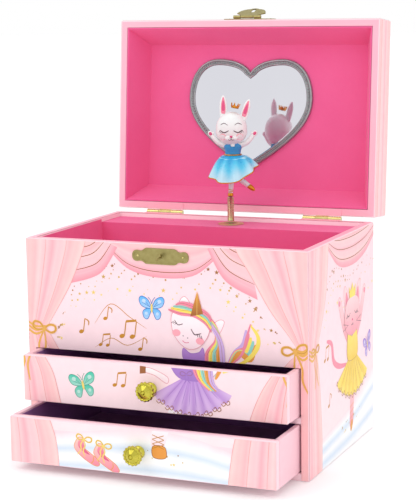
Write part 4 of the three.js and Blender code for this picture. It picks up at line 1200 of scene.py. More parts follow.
def dancing_pony(picture):
    """A white pony with a horn and a many-coloured mane, in a lilac ballet skirt, one arm out."""
    coat, shade, line = INK["milk"], INK["blush"], INK["soft_line"]
    mane = (INK["pink"], INK["yellow"], INK["mint"], INK["apricot"], INK["lilac"])
    for index in range(5):
        shift = index * 2.3
        tail = [(45, 72 - shift * 0.5), (50 + shift * 0.3, 80), (56 + shift * 0.5, 86 - shift),
                (58 + shift * 0.7, 96 - shift)]
        picture.stroke(tail, 4.0, mane[(index + 4) % 5], taper=0.7)
    tip = [(50, 72), (58, 76), (65, 84), (66, 92), (61, 99)]
    picture.stroke(tip, 3.0, INK["yellow"], taper=0.7)
    picture.stroke([(48, 73), (55, 80), (58, 90), (61, 100)], 1.8, INK["pink"], taper=0.6)
    for ear in ([(13, 104), (12, 112), (16, 115), (20, 108)], [(34, 96), (39, 101), (43, 100), (39, 92)]):
        picture.blob(ear, coat, edge=line, second=shade)
    picture.blob([(9, 26), (13, 24), (17, 25), (20, 33), (22, 44), (13, 45), (9, 34)], coat, second=shade)
    picture.blob([(10, 26), (9.5, 19.5), (14, 18), (19, 19.5), (18, 26)], INK["apricot"], 0.3,
                 edge=INK["brown"])
    for height in (26, 29, 32):
        for rise in (-1.4, 1.4):
            picture.stroke([(9.6, height - rise), (17.6, height + rise)], 0.45, INK["gold"], 0.6,
                           smooth=False)
    picture.blob([(12, 66), (4, 70), (-3, 71.5), (-4, 68.5), (3, 66.5), (11, 62)], coat, edge=line,
                 second=shade)
    picture.area([(-3.4, 72), (-7.6, 72.2), (-7.8, 67), (-3.6, 67.6)], INK["brown"])
    picture.blob([(30, 68), (38, 70), (44, 74), (46, 72), (40, 66), (32, 63)], coat, edge=line,
                 second=shade)
    waist = flounce(picture, (2, 54), (56, 57), 13, 9,
                    (INK["purple"], INK["lilac_light"], INK["lilac_dark"]), INK["brown"], 9, 15)
    picture.blob([(waist[0] - 8, waist[1]), (14, 74), (14, 81), (19, 78), (25, 79), (28, 82), (30, 74),
                  (waist[0] + 7, waist[1])],
                 INK["purple"], edge=INK["lilac_dark"], second=INK["lilac_dark"])
    ribbon_bow(picture, (waist[0] - 4, waist[1] + 3), 4.2, 0.1, INK["lilac_dark"], INK["brown"], 0.8)
    for index in range(5):
        shift = index * 2.0
        fall = [(26 + shift * 0.5, 106 - shift * 0.4), (35 + shift * 0.4, 99 - shift),
                (38 + shift * 0.35, 88 - shift * 0.5),
                (31 + shift * 1.3, 78), (33 + shift * 1.2, 68 - shift * 0.3), (41 + shift * 0.8, 60)]
        picture.stroke(fall, 3.6, mane[index], taper=0.55)
        picture.stroke(fall, 0.22, INK["gold_dark"], taper=0.6)
    picture.blob([(6.5, 103), (6, 96), (8, 89), (13, 83), (19, 80.5), (26, 83), (31.5, 90), (33, 98),
                  (29, 106), (20, 110), (11, 108)], coat, edge=line, second=shade)
    for middle in ((9.5, 91), (26, 86.5)):
        picture.disc(middle, 2.9, INK["cheek"], squash=0.8)
    closed_eye(picture, (11, 97.5), 3.1, -0.35, -1, INK["line"])
    closed_eye(picture, (23, 92), 3.8, -0.35, 1, INK["line"])
    picture.stroke([(13.6, 86.2), (15.4, 84.8), (18.2, 85)], 0.4, INK["deep_pink"])
    for place in ((14.2, 89.2), (17.4, 88)):
        picture.disc(place, 0.4, INK["line"], sides=8)
    for index, ink in enumerate((INK["pink"], INK["yellow"], INK["mint"], INK["pink"])):
        shift = index * 2.2
        fringe = [(4 + shift * 0.8, 106 + shift * 0.5), (12 + shift * 0.3, 104 + shift),
                  (22, 103.5 + shift * 0.8), (30 + shift * 0.2, 99 + shift * 0.8), (34, 93 + shift)]
        picture.stroke(fringe, 3.2, ink, taper=0.75)
        picture.stroke(fringe, 0.22, INK["gold_dark"], taper=0.6)
    picture.area([(19.5, 102.5), (28.5, 104.5), (24.5, 119)], INK["apricot"], 0.6, second=INK["brown"])
    picture.stroke([(24.2, 103.6), (24.5, 118)], 0.5, INK["gold_light"], 0.8, smooth=False, taper=0.5)


def dancing_cat(picture):
    """A pink kitten in a yellow ballet skirt, arms raised, with a little crown."""
    middle = 20
    coat, shade, line = INK["curtain_light"], INK["swag_deep"], INK["soft_line"]
    picture.stroke([(8, 60), (-8, 62), (-20, 68), (-24, 80), (-34, 84)], 4.4, INK["pink"], taper=0.6)
    picture.blob([(15, 16), (19, 14), (22, 17), (23, 30), (27, 44), (17, 46), (16, 30)], coat, edge=line,
                 second=shade)
    picture.disc((18.5, 15), 4.2, INK["apricot"], 0.2, squash=0.55, angle=1.2)
    for height in (20, 24, 28):
        picture.stroke([(15.5, height), (23.5, height + 2)], 0.5, INK["apricot"], smooth=False)
    for side in (-1, 1):
        picture.blob([(middle + side * 7, 72), (middle + side * 18, 82), (middle + side * 26, 96),
                      (middle + side * 30, 106),
                      (middle + side * 25, 107), (middle + side * 16, 91), (middle + side * 5, 80)], coat,
                     edge=line,
                     second=shade)
        picture.disc((middle + side * 27.5, 104), 2.0, INK["pink"])
    waist = flounce(picture, (-13, 50), (54, 46), 12, 12,
                    (INK["yellow_dark"], INK["yellow"], INK["gold"]), INK["gold_dark"], 9, 20)
    picture.blob([(waist[0] - 10, waist[1]), (9, 76), (12, 82), (19, 77), (27, 82), (31, 76),
                  (waist[0] + 10, waist[1])],
                 INK["yellow"], edge=INK["gold"], second=INK["yellow_dark"])
    for side in (-1, 1):
        picture.blob([(middle + side * 5, 101), (middle + side * 14, 113), (middle + side * 18, 111),
                      (middle + side * 15, 96)], coat, edge=line)
        picture.blob([(middle + side * 8, 102), (middle + side * 13.5, 109.5), (middle + side * 14.5, 99)],
                     INK["pink"])
    picture.blob([(3, 92), (8, 102), (20, 105), (32, 102), (37, 92), (33, 82), (20, 78), (7, 82)], coat,
                 edge=line, second=shade)
    for side in (-1, 1):
        closed_eye(picture, (middle + side * 8, 93), 3.4, 0.0, side, INK["line"])
        picture.disc((middle + side * 11, 87), 2.8, INK["cheek"], squash=0.8)
        for rise in (-1, 1):
            picture.stroke([(middle + side * 9, 86), (middle + side * 20, 86 + rise * 2.4)], 0.3,
                           INK["line"],
                           smooth=False)
    picture.disc((20, 88.4), 1.2, INK["deep_pink"], squash=0.7)
    picture.stroke([(17.5, 85.6), (19, 84.6), (20, 86), (21, 84.6), (22.5, 85.6)], 0.4, INK["line"])
    picture.area([(14, 104), (12.5, 112), (16.5, 108.5), (20, 114), (23.5, 108.5), (27.5, 112), (26, 104)],
                 INK["yellow"], 0.7)


def ballet_slippers(picture):
    """Two pink slippers with looped ribbons."""
    for shift, rise in ((0, 3.0), (14, 0)):
        at = turned((-39 + shift, 15 + rise), 1.0, -0.55)
        sole = [(-8, 5), (-7.5, -1.5), (-2, -4), (6, -4.5), (12, -3.5), (13.5, -1), (10, 1), (4, 1.5),
                (-1, 2), (-5, 6.5)]
        picture.blob([at(u, v) for u, v in sole], INK["curtain_warm"], edge=INK["apricot"],
                     second=INK["pink"])
        mouth = [(-6.6, 4.6), (-5.6, 0.6), (-1, -0.8), (4.6, 0.2), (0, 1.6), (-3.4, 4.8)]
        picture.blob([at(u, v) for u, v in mouth], INK["swag_deep"], second=INK["deep_pink"])
        picture.stroke([at(u, v) for u, v in ((7, 0.8), (8.6, -1.6), (8.2, -4))], 0.6, INK["apricot"],
                       taper=0.4)
        ribbon_bow(picture, at(-4, 6.5), 5.4, -0.2, INK["gold_light"], INK["gold"], 1.2)


def stage_floor(picture, line, foot):
    """The pale stage floor under a line, with soft blue reflections."""
    edge = smooth_line(line, 6)
    base = [(u, foot) for u, v in edge]
    picture.sheet([edge, mixed(edge, base, 0.2), base], [INK["paper"], INK["white"], INK["white"]])
    for share in (0.3, 0.62):
        middle = mixed(edge, base, share)
        low, high = [(u, v - 4.5) for u, v in middle], [(u, v + 4.5) for u, v in middle]
        picture.sheet([high, middle, low], [INK["white"], INK["ice"], INK["white"]])


def front_picture(half):
    """The stage on the front: swags, curtains, stars, butterflies, notes, slippers and the pony."""
    picture = Picture()
    picture.sheet([[(-half, 160), (half, 160)], [(-half, 118), (half, 118)], [(-half, 30), (half, 30)]],
                  [INK["paper_deep"], INK["paper"], INK["paper_low"]])
    stage_floor(picture, [(-half, 24), (-60, 28), (-25, 33), (10, 36), (40, 33), (62, 27), (half, 17)], -6)
    arch = smooth_line([(-68, 116), (-50, 128), (-33, 134), (-3, 129), (33, 134), (50, 126), (66, 112)], 6)
    scatter_stars(picture, arch, 20, 96, 0.31)
    scatter_stars(picture, [(-72, 104), (-78, 86)], 14, 16, 0.53, 0.8)
    scatter_stars(picture, [(66, 108), (82, 92)], 16, 14, 0.71, 0.8)
    scatter_stars(picture, [(-2, 26), (32, 22)], 10, 12, 0.77, 0.8)
    for index, (u, v, size) in enumerate(((-42, 97, 8), (-30, 86, 10), (-17, 78, 8), (-46, 79, 7))):
        note(picture, (u, v), size, double=index % 2 == 1)
    for line in ([(-50, 77), (-38, 84), (-26, 80), (-12, 87)],
                 [(-50, 93), (-38, 107), (-24, 99), (-12, 92)]):
        picture.stroke(line, 0.5, INK["gold"], 0.8, taper=0.8)
    note(picture, (-60, 87), 9)
    note(picture, (-26, 58), 8, double=True)
    butterfly(picture, (-8, 106), 9, 0.0, INK["blue"], INK["blue_dark"])
    butterfly(picture, (-49, 56), 9.5, 0.2, INK["teal"], lerp(INK["teal"], INK["line"], 0.4))
    ballet_slippers(picture)
    dancing_pony(picture)
    swag(picture, [(-36, 152), (-3, 152), (36, 152)],
         [(-38, 143), (-24, 131), (-3, 126.5), (22, 129), (40, 143)], 2, (0.85,))
    swag(picture, [(-50, 153), (-56, 153), (-64, 153)], [(-32, 145), (-45, 127), (-68, 119)], 2,
         (0.3, 0.5, 0.75))
    swag(picture, [(44, 155), (52, 155), (58, 155)], [(32, 147), (44, 127), (66, 116)], 2, (0.3, 0.5, 0.75))
    curtain(picture, [(-55, 152), (-57, 142), (-66, 121), (-74, 107), (-86, 88)],
            [(-half, 152), (-half, 140), (-half, 122), (-half, 107), (-half, 88)])
    curtain(picture, [(-86, 88), (-80, 78), (-71, 63), (-66, 44), (-59, 22), (-57, -6)],
            [(-half, 88), (-half, 78), (-half, 63), (-half, 44), (-half, 22), (-half, -6)])
    curtain(picture, [(49, 153), (53, 144), (61, 132), (74, 110), (86, 95), (94, 84)],
            [(half, 153), (half, 146), (half, 135), (half, 116), (half, 98), (half, 84)])
    curtain(picture, [(94, 84), (84, 74), (74, 58), (66, 36), (62, 14), (60, -6)],
            [(half, 84), (half, 74), (half, 58), (half, 36), (half, 14), (half, -6)])
    for rise in (2.4, -0.2, -2.8):
        picture.stroke([(-half, 89 + rise), (-94, 86 + rise), (-86, 88 + rise * 0.4)], 1.5,
                       INK["gold_foil"], 0.5, taper=0.3)
        picture.stroke([(half, 85 + rise), (96, 82 + rise), (90, 85 + rise * 0.4)], 1.5, INK["gold_foil"],
                       0.5, taper=0.3)
    ribbon_bow(picture, (-88, 87), 8.5, -0.15, INK["gold_foil"], INK["gold"], 2.1)
    ribbon_bow(picture, (91, 84), 8.5, 0.2, INK["gold_foil"], INK["gold"], 2.1)
    return picture


def side_picture(half, with_cat):
    """The side's curtain and swag, with the cat or with a plain motif of notes and butterflies."""
    picture = Picture()
    picture.sheet([[(-half, 160), (half, 160)], [(-half, 60), (half, 60)], [(-half, 20), (half, 20)]],
                  [INK["paper_deep"], INK["paper"], INK["paper_low"]])
    stage_floor(picture, [(-half, 18), (-44, 21), (-10, 25), (20, 30), (50, 40), (half, 47)], -6)
    arch = smooth_line([(-40, 116), (-22, 130), (0, 126), (24, 122), (half, 132)], 6)
    scatter_stars(picture, arch, 26, 70, 0.43)
    note(picture, (-38, 72), 8, double=True)
    note(picture, (-30, 40), 8)
    butterfly(picture, (55, 64), 9, 0.3, INK["violet"], INK["lilac_dark"])
    if with_cat:
        dancing_cat(picture)
        scatter_stars(picture, [(-4, 20), (40, 24)], 9, 14, 0.21, 0.8)
    else:
        butterfly(picture, (8, 96), 13, -0.25, INK["blue"], INK["blue_dark"])
        butterfly(picture, (30, 54), 10, 0.4, INK["pink"], INK["deep_pink"])
        note(picture, (-2, 52), 12, double=True)
    swag(picture, [(-34, 154), (20, 154), (half, 154)],
         [(-34, 146), (-10, 130), (20, 126), (48, 130), (half, 140)], 3,
         (0.3, 0.55, 0.8))
    curtain(picture, [(-28, 153), (-31, 142), (-37, 112), (-54, 82)],
            [(-half, 153), (-half, 142), (-half, 112), (-half, 82)], 2)
    curtain(picture, [(-54, 82), (-49, 62), (-46, 40), (-44, 20), (-44, -6)],
            [(-half, 82), (-half, 62), (-half, 40), (-half, 20), (-half, -6)], 2)
    for rise in (2.4, -0.2, -2.8):
        picture.stroke([(-half, 83 + rise), (-62, 80 + rise), (-55, 83 + rise * 0.4)], 1.5,
                       INK["gold_foil"], 0.5, taper=0.3)
    ribbon_bow(picture, (-57, 82), 7, 0.1, INK["gold_foil"], INK["gold"], 2.0)
    return picture


def plain_picture(half, height, hole):
    """Swags along the top, and stars, notes and butterflies clear of the winding arbor's hole."""
    picture = Picture()
    arch = [(-half + 8, height - 24), (half - 8, height - 24)]
    scatter_stars(picture, arch, height - 34, 110, 0.53)
    picture.shapes = [shape for shape in picture.shapes if math.dist(shape["points"][0],
                                                                     hole[:2]) > hole[2]]
    for index in range(6):
        u = lerp(-half + 22, half - 22, (index * GOLDEN + 0.53) % 1)
        v = lerp(20, height - 46, (index * 0.37 + 0.06) % 1)
        if math.dist((u, v), hole[:2]) < hole[2] * 3:
            v -= hole[2] * 4
        if index % 2:
            note(picture, (u, v), 9, double=index % 4 == 1)
        else:
            ink = (INK["teal"], INK["violet"], INK["blue"])[index // 2]
            butterfly(picture, (u, v), 8.5, 0.3 - 0.2 * index, ink, lerp(ink, INK["line"], 0.4))
    for index in range(3):
        left, right = lerp(-half, half, index / 3), lerp(-half, half, (index + 1) / 3)
        middle = (left + right) / 2
        swag(picture, [(left, height + 4), (middle, height + 4), (right, height + 4)],
             [(left, height - 5), (left + 12, height - 15), (middle, height - 21),
              (right - 12, height - 15), (right, height - 5)])
    return picture


def lid_side_picture(half, depth):
    """Curtain cloth along a side wall of the lid, with two fold lines along it."""
    picture = Picture()
    low, high = [(-half, -3), (0, -3), (half, -3)], [(-half, depth + 3), (0, depth + 3), (half, depth + 3)]
    picture.cloth(low, high, 3, INK["curtain"], INK["curtain_light"], INK["curtain_warm"])
    for share in (0.28, 0.74):
        picture.stroke(mixed(low, high, share), 0.4, INK["curtain_line"], smooth=False)
    return picture


def lid_top_picture(half_width, half_depth):
    """A ring of ribbon with a bow, butterflies and stars on the lid's top."""
    picture = Picture()
    for side in (-1, 1):
        line = [(-half_width + 8, side * half_depth * 0.85 + 8),
                (half_width - 8, side * half_depth * 0.85 + 8)]
        scatter_stars(picture, line, 22, 50, 0.19 + side * 0.3)
    steps = 72
    for reach, width in ((1.0, 2.0), (0.92, 0.7)):
        ring = [(half_width * 0.62 * reach * math.cos(math.tau * i / steps),
                 half_depth * 0.62 * reach * math.sin(math.tau * i / steps)) for i in range(steps + 1)]
        picture.stroke(ring, width, INK["gold"], 0.8, smooth=False)
    ribbon_bow(picture, (0, half_depth * 0.62), 14, 0, INK["pink"], INK["deep_pink"], 0.9)
    butterfly(picture, (0, -4), 17, 0.25, INK["violet"], INK["lilac_dark"])
    butterfly(picture, (-70, -44), 12, -0.3, INK["teal"], lerp(INK["teal"], INK["line"], 0.4))
    butterfly(picture, (72, 46), 12, 0.4, INK["blue"], INK["blue_dark"])
    note(picture, (-40, 6), 13, double=True)
    note(picture, (32, -16), 13)
    return picture


def build_pictures(looks):
    """Lays the printed pictures on the case, drawer fronts and lid."""
    low, high = span(*CASE_BOARDS)
    half_width, half_depth, height = high.x / MM, high.y / MM, high.z / MM
    trim = looks.edge_radius / MM * 0.6
    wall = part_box("side_panel_left")[1].x / MM
    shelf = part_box("front_fascia")[0].z / MM
    front = front_picture(half_width)

    def front_place(face):
        return panel_place(X_AXIS, Z_AXIS, -Y_AXIS, Vector((0, face, 0)))
    print_piece(front, "print_front", front_place(low.y), "case",
                (-half_width + trim, shelf, half_width - trim, height - trim))
    print_piece(front, "print_front_edge_left", front_place(low.y), "case",
                (-half_width + trim, trim, wall, shelf))
    print_piece(front, "print_front_edge_right", front_place(low.y), "case",
                (-wall, trim, half_width - trim, shelf))
    for name in ("upper", "lower"):
        body = "drawer_" + name
        face_low, face_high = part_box(body + "_front")
        clip = (face_low.x / MM + trim, face_low.z / MM + trim, face_high.x / MM - trim,
                face_high.z / MM - trim)
        print_piece(front, "print_" + body, front_place(face_low.y), body, clip)

    window = (-half_depth + trim, trim, half_depth - trim, height - trim)
    for name, out, edge in (("right", X_AXIS, high.x), ("left", -X_AXIS, low.x)):
        place = panel_place(Y_AXIS, Z_AXIS, out, Vector((edge, 0, 0)))
        print_piece(side_picture(half_depth, name == "right"), "print_side_" + name, place, "case", window)
    back = panel_place(-X_AXIS, Z_AXIS, Y_AXIS, Vector((0, high.y, 0)))
    hole = (-centre("winding_arbor").x / MM, centre("winding_arbor").z / MM, BACK_CLEARING)
    print_piece(plain_picture(half_width, height, hole), "print_back", back, "case",
                (-half_width + trim, trim, half_width - trim, height - trim))

    low, high = shut_span(*LID_BOARDS)
    lid = lid_matrix()
    depth = (high.z - low.z) / MM
    faces = (("right", Y_AXIS, X_AXIS, Vector((high.x, 0, low.z)), half_depth),
             ("left", -Y_AXIS, -X_AXIS, Vector((low.x, 0, low.z)), half_depth),
             ("front", X_AXIS, -Y_AXIS, Vector((0, low.y, low.z)), half_width),
             ("back", -X_AXIS, Y_AXIS, Vector((0, high.y, low.z)), half_width))
    for name, across, out, origin, half in faces:
        place = lid @ panel_place(across, Z_AXIS, out, origin)
        print_piece(lid_side_picture(half, depth), "print_lid_" + name, place, "lid",
                    (-half + trim, trim, half - trim, depth - trim))
    place = lid @ panel_place(X_AXIS, Y_AXIS, Z_AXIS, Vector((0, 0, high.z)))
    print_piece(lid_top_picture(half_width, half_depth), "print_lid_top", place, "lid",
                (-half_width + trim, -half_depth + trim, half_width - trim, half_depth - trim))


# ---------------------------------------------------------------------------------------------
# Dancer. It is shaped facing -Y with its stem on the origin's vertical, then turned and moved there.
# ---------------------------------------------------------------------------------------------

# Each hand's side and its place from the middle of the waist, in millimetres.
HANDS = ((-1, (-12.8, -1.2, 14.0)), (1, (16.8, -1.2, 14.0)))


def dancer_place(looks):
    """Where the dancer stands on its stem, turned as it stops."""
    fold = Vector(joint("dancer_turn")["pos_m"])
    return Matrix.Translation((fold.x, fold.y, 0)) @ Matrix.Rotation(looks.turned, 4, "Z")


def ink_layers(bm):
    """The colour and foil attributes of a painted piece."""
    return bm.verts.layers.float_color.new("Ink"), bm.verts.layers.float.new("Foil")


def rows_from(profile, sides, shape):
    """Rings of points: shape(t, angle) gives a point for each share t of the profile and each angle."""
    return [[shape(t, math.tau * step / sides) for step in range(sides)] for t in profile]


def build_skirt(looks):
    """The fluted skirt: a bell tipped to one side, deep blue at the waist and pale at its gold hem, with
    painted shade in its flute hollows.
    """
    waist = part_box("dancer_skirt")[1].z + looks.rise
    middle = Vector((looks.skirt_shift, 0, waist))
    drop, wide, tight = looks.skirt_drop, looks.skirt_radius, looks.waist_radius
    flutes = 9

    def outer(t, angle):
        flute = math.cos(flutes * angle) * 0.075 * t ** 1.4 * wide
        reach = lerp(tight, wide, t ** 0.68) + flute
        across = reach * math.cos(angle)
        lift = (looks.skirt_lift * math.cos(angle) ** 2 + across * math.tan(looks.skirt_tilt)) * t
        return Vector((across, reach * math.sin(angle) * 0.9, lift - drop * t ** 1.25))

    def inner(t, angle):
        point = outer(t, angle)
        return Vector((point.x * 0.95, point.y * 0.95,
                       point.z + looks.cloth_thickness * (1 - t) - 0.0003 * t))
    shares = [0.0, 0.06, 0.14, 0.24, 0.36, 0.5, 0.64, 0.78, 0.9, 1.0]
    sides = flutes * 10
    tip = Matrix.Translation(middle)
    bm = bmesh.new()
    ink, foil = ink_layers(bm)
    rings = rows_from(shares, sides, outer) + rows_from(shares[:2:-1], sides, inner)
    rows = loft(bm, rings)
    deep, bright, pale = paint(10, 158, 214), paint(80, 200, 236), paint(186, 228, 244)
    for index, row in enumerate(rows):
        share = shares[index] if index < len(shares) else 0.7
        for step, vert in enumerate(row):
            # Painted shade: the flutes' hollows are coloured darker, on top of the fade from deep blue at the
            # waist to pale at the hem.
            flute_shade = 0.5 - 0.5 * math.cos(flutes * math.tau * step / sides)
            lit = min(1.0, max(0.0, share * 1.25 - flute_shade * 0.42 * (1 - share * 0.35)))
            colour = lerp(deep, bright, min(1, lit * 2)) if lit < 0.5 else lerp(bright, pale, lit * 2 - 1)
            vert[ink] = (*colour, 1)
            vert[foil] = 0.0
    place = dancer_place(looks)
    finish_piece("dancer_skirt_bell", bm, "glaze", "dancer", ["dancer_skirt"],
                 matrix=place @ tip)

    hem = [tip @ outer(1.0, math.tau * step / sides) for step in range(sides)]
    bm = bmesh.new()
    add_tube(bm, hem, looks.trim_radius, 8, closed=True, up=Z_AXIS)
    belt = [middle + Vector((tight * 1.06 * math.cos(math.tau * s / 32),
                             tight * 0.92 * math.sin(math.tau * s / 32),
                             looks.trim_radius * 0.6)) for s in range(32)]
    add_tube(bm, belt, looks.trim_radius * 1.25, 8, closed=True, up=Z_AXIS)
    finish_piece("dancer_gold_trim", bm, "gilt", "dancer", matrix=place)


def build_legs(looks):
    """The legs, one down to the stem and one raised to the side, in orange slippers with ribbons."""
    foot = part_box("dancer_legs")[0].z
    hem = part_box("dancer_legs")[1].z
    standing = [(0.0, 2.0), (0.3, 5.6), (0.55, 9.0), (0.9, 13.0), (1.5, hem / MM - foot / MM - 0.6)]
    raised = [(2.6, hem / MM - foot / MM - 1.2), (6.2, 12.8), (10.2, 9.6), (13.6, 7.0), (15.0, 5.9)]
    bm = bmesh.new()
    for line, radii, back in ((standing, (1.5, 1.45, 1.6, 2.0, 2.4), 0.4),
                              (raised, (2.4, 2.1, 1.8, 1.5, 1.35), 0.8)):
        points = [Vector((x * MM, back * MM, foot + z * MM)) for x, z in smooth_line(line, 4)]
        sizes = [lerp(radii[0], radii[-1], i / (len(points) - 1)) * MM for i in range(len(points))]
        add_tube(bm, points, sizes, 18)
    place = dancer_place(looks)
    finish_piece("dancer_leg_pair", bm, "enamel", "dancer", ["dancer_legs"], matrix=place)
    bm = bmesh.new()
    slip = [(0.0, 0.0), (1.6, 0.0), (2.1, 0.5), (2.15, 1.2), (1.8, 2.0), (1.72, 2.5), (0.0, 2.5)]
    spun(bm, [(r * MM, z * MM) for r, z in slip], Vector((0, 0.0003, foot)), Z_AXIS, 24)
    toe = [Vector((x * MM, y * MM, foot + z * MM)) for x, y, z in
           ((12.6, 0.8, 7.6), (13.8, 0.6, 6.8), (15.2, 0.2, 5.7), (16.6, -0.4, 4.7), (17.4, -0.7, 4.2))]
    add_tube(bm, toe, [1.55 * MM, 1.85 * MM, 1.75 * MM, 1.2 * MM, 0.5 * MM], 16)
    for height, turn in ((3.4, 0.3), (4.8, -0.3)):
        loop = [Vector((0.2 * MM + 1.62 * MM * math.cos(a), 0.4 * MM + 1.62 * MM * math.sin(a),
                        foot + height * MM + turn * MM * math.cos(a)))
                for a in (math.tau * s / 20 for s in range(20))]
        add_tube(bm, loop, 0.28 * MM, 6, closed=True, up=Z_AXIS)
    finish_piece("dancer_slippers", bm, "gilt", "dancer", matrix=place)


def build_torso(looks):
    """The body: a blue halter bodice over a white chest, raised arms with pink pads, a tail and a bow."""
    waist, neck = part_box("dancer_body")[0].z + looks.rise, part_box("dancer_head")[0].z + looks.rise
    place = dancer_place(looks)
    shift = looks.skirt_shift
    tall = neck - waist

    def ring(height, wide, deep, off=0.0, sides=32):
        return [Vector((shift + off + wide * MM * math.cos(math.tau * s / sides),
                        deep * MM * math.sin(math.tau * s / sides),
                        waist + tall * height)) for s in range(sides)]
    bm = bmesh.new()
    loft(bm, [ring(0.0, 5.2, 4.0), ring(0.2, 5.3, 4.1), ring(0.45, 6.0, 4.5), ring(0.66, 6.4, 4.6),
              ring(0.8, 5.6, 4.1),
              ring(0.92, 3.6, 3.1), ring(1.0, 2.8, 2.7), ring(1.12, 2.7, 2.6)])
    shoulder = waist + tall * 0.66
    for side, hand in HANDS:
        root = Vector((shift + side * 5.0 * MM, 0.0002, shoulder))
        tip = Vector((hand[0] * MM, hand[1] * MM, waist + hand[2] * MM))
        elbow = (root + tip) / 2 + Vector((side * 0.6 * MM, -0.6 * MM, -1.1 * MM))
        line = smooth_line([tuple(root), tuple(elbow), tuple(tip)], 7)
        points = [Vector(p) for p in line]
        sizes = [lerp(2.1, 1.45, i / (len(points) - 1)) * MM for i in range(len(points))]
        add_tube(bm, points, sizes, 16)
        palm = tip + Vector((side * 0.7 * MM, 0, 0.9 * MM))
        lean = Matrix.Rotation(side * 0.7, 4, "Y")
        add_ball(bm, palm, (1.8 * MM, 1.5 * MM, 2.4 * MM), 18, 12, lean)
        add_ball(bm, tip + Vector((-side * 1.0 * MM, -0.2 * MM, 1.0 * MM)), (0.8 * MM, 0.8 * MM, 1.4 * MM),
                 10, 8)
    tail = Vector((shift, 6.0 * MM, waist - 1.0 * MM))
    for step in range(14):
        turn, rise = step * 2.399, 1 - 2 * (step + 0.5) / 14
        flat = math.sqrt(1 - rise * rise)
        out = Vector((flat * math.cos(turn), flat * math.sin(turn), rise))
        add_ball(bm, tail + out * 1.5 * MM, (1.5 * MM, 1.5 * MM, 1.5 * MM), 12, 8)
    finish_piece("dancer_torso", bm, "enamel", "dancer", matrix=place)

    bm = bmesh.new()
    sides = 48
    heights = ((0.0, 5.55, 4.3), (0.12, 5.5, 4.3), (0.3, 5.8, 4.5), (0.5, 6.4, 4.8), (0.64, 6.7, 4.85))
    rows = [ring(h, w, d, sides=sides) for h, w, d in heights]
    top = []
    for step in range(sides):
        angle = math.tau * step / sides
        off = abs(math.cos(angle))
        height = 0.72
        if math.sin(angle) < 0:
            height = min(0.34 + 1.5 * off, 0.98 - 0.34 * max(0.0, (off - 0.5) / 0.5))
        rise = max(0.0, (height - 0.7) / 0.3)
        wide, deep = lerp(6.55, 4.4, rise), lerp(4.85, 3.5, rise)
        top.append(Vector((shift + wide * MM * math.cos(angle), deep * MM * math.sin(angle),
                           waist + tall * height)))
    rows.append(top)
    inward = [[Vector((shift + (p.x - shift) * 0.86, p.y * 0.86, p.z)) for p in row] for row in (rows[-1],
                                                                                                 rows[0])]
    loft(bm, rows + inward, cap=False)
    bmesh.ops.holes_fill(bm, edges=bm.edges)
    finish_piece("dancer_bodice", bm, "bodice", "dancer", ["dancer_body"], matrix=place)

    bm = bmesh.new()
    collar = [Vector((shift + 3.1 * MM * math.cos(a), 3.0 * MM * math.sin(a), neck - 0.3 * MM))
              for a in (math.tau * s / 32 for s in range(32))]
    add_tube(bm, collar, 0.55 * MM, 8, closed=True, up=Z_AXIS)
    knot = Vector((shift, -3.6 * MM, neck - 0.6 * MM))
    add_ball(bm, knot, (0.9 * MM, 0.7 * MM, 0.8 * MM), 14, 10)
    for side in (-1, 1):
        add_ball(bm, knot + Vector((side * 2.0 * MM, 0.2 * MM, 0.3 * MM)), (1.6 * MM, 0.65 * MM, 1.15 * MM),
                 16, 10,
                 Matrix.Rotation(-side * 0.25, 4, "Y"))
    for side in (-1, 1):
        add_ball(bm, Vector((shift + side * 2.3 * MM, 4.6 * MM, waist + 1.6 * MM)),
                 (2.2 * MM, 0.8 * MM, 1.5 * MM), 16, 10,
                 Matrix.Rotation(side * 0.3, 4, "Y"))
    add_ball(bm, Vector((shift, 4.9 * MM, waist + 1.5 * MM)), (0.8 * MM, 0.7 * MM, 0.8 * MM), 12, 8)
    finish_piece("dancer_bows", bm, "gilt", "dancer", matrix=place)

    bm = bmesh.new()
    ink, foil = ink_layers(bm)
    for side, hand in HANDS:
        pad = Vector(((hand[0] + side * 0.8) * MM, -2.3 * MM, waist + (hand[2] + 1.1) * MM))
        for vert in add_ball(bm, pad, (1.1 * MM, 0.5 * MM, 1.5 * MM), 14, 8,
                             Matrix.Rotation(side * 0.7, 4, "Y")):
            vert[ink] = (*INK["deep_pink"], 1)
            vert[foil] = 0.0
    finish_piece("dancer_hand_pads", bm, "glaze", "dancer", matrix=place)


def ear_place(looks, middle, side):
    """Where an ear grows: beside the crown of the head, splayed about the head's own lean."""
    turn = Matrix.Rotation(looks.head_lean + side * looks.ear_splay, 4, "Y")
    return Matrix.Translation(middle) @ turn @ Matrix.Translation((side * looks.ear_apart, 0, 0))


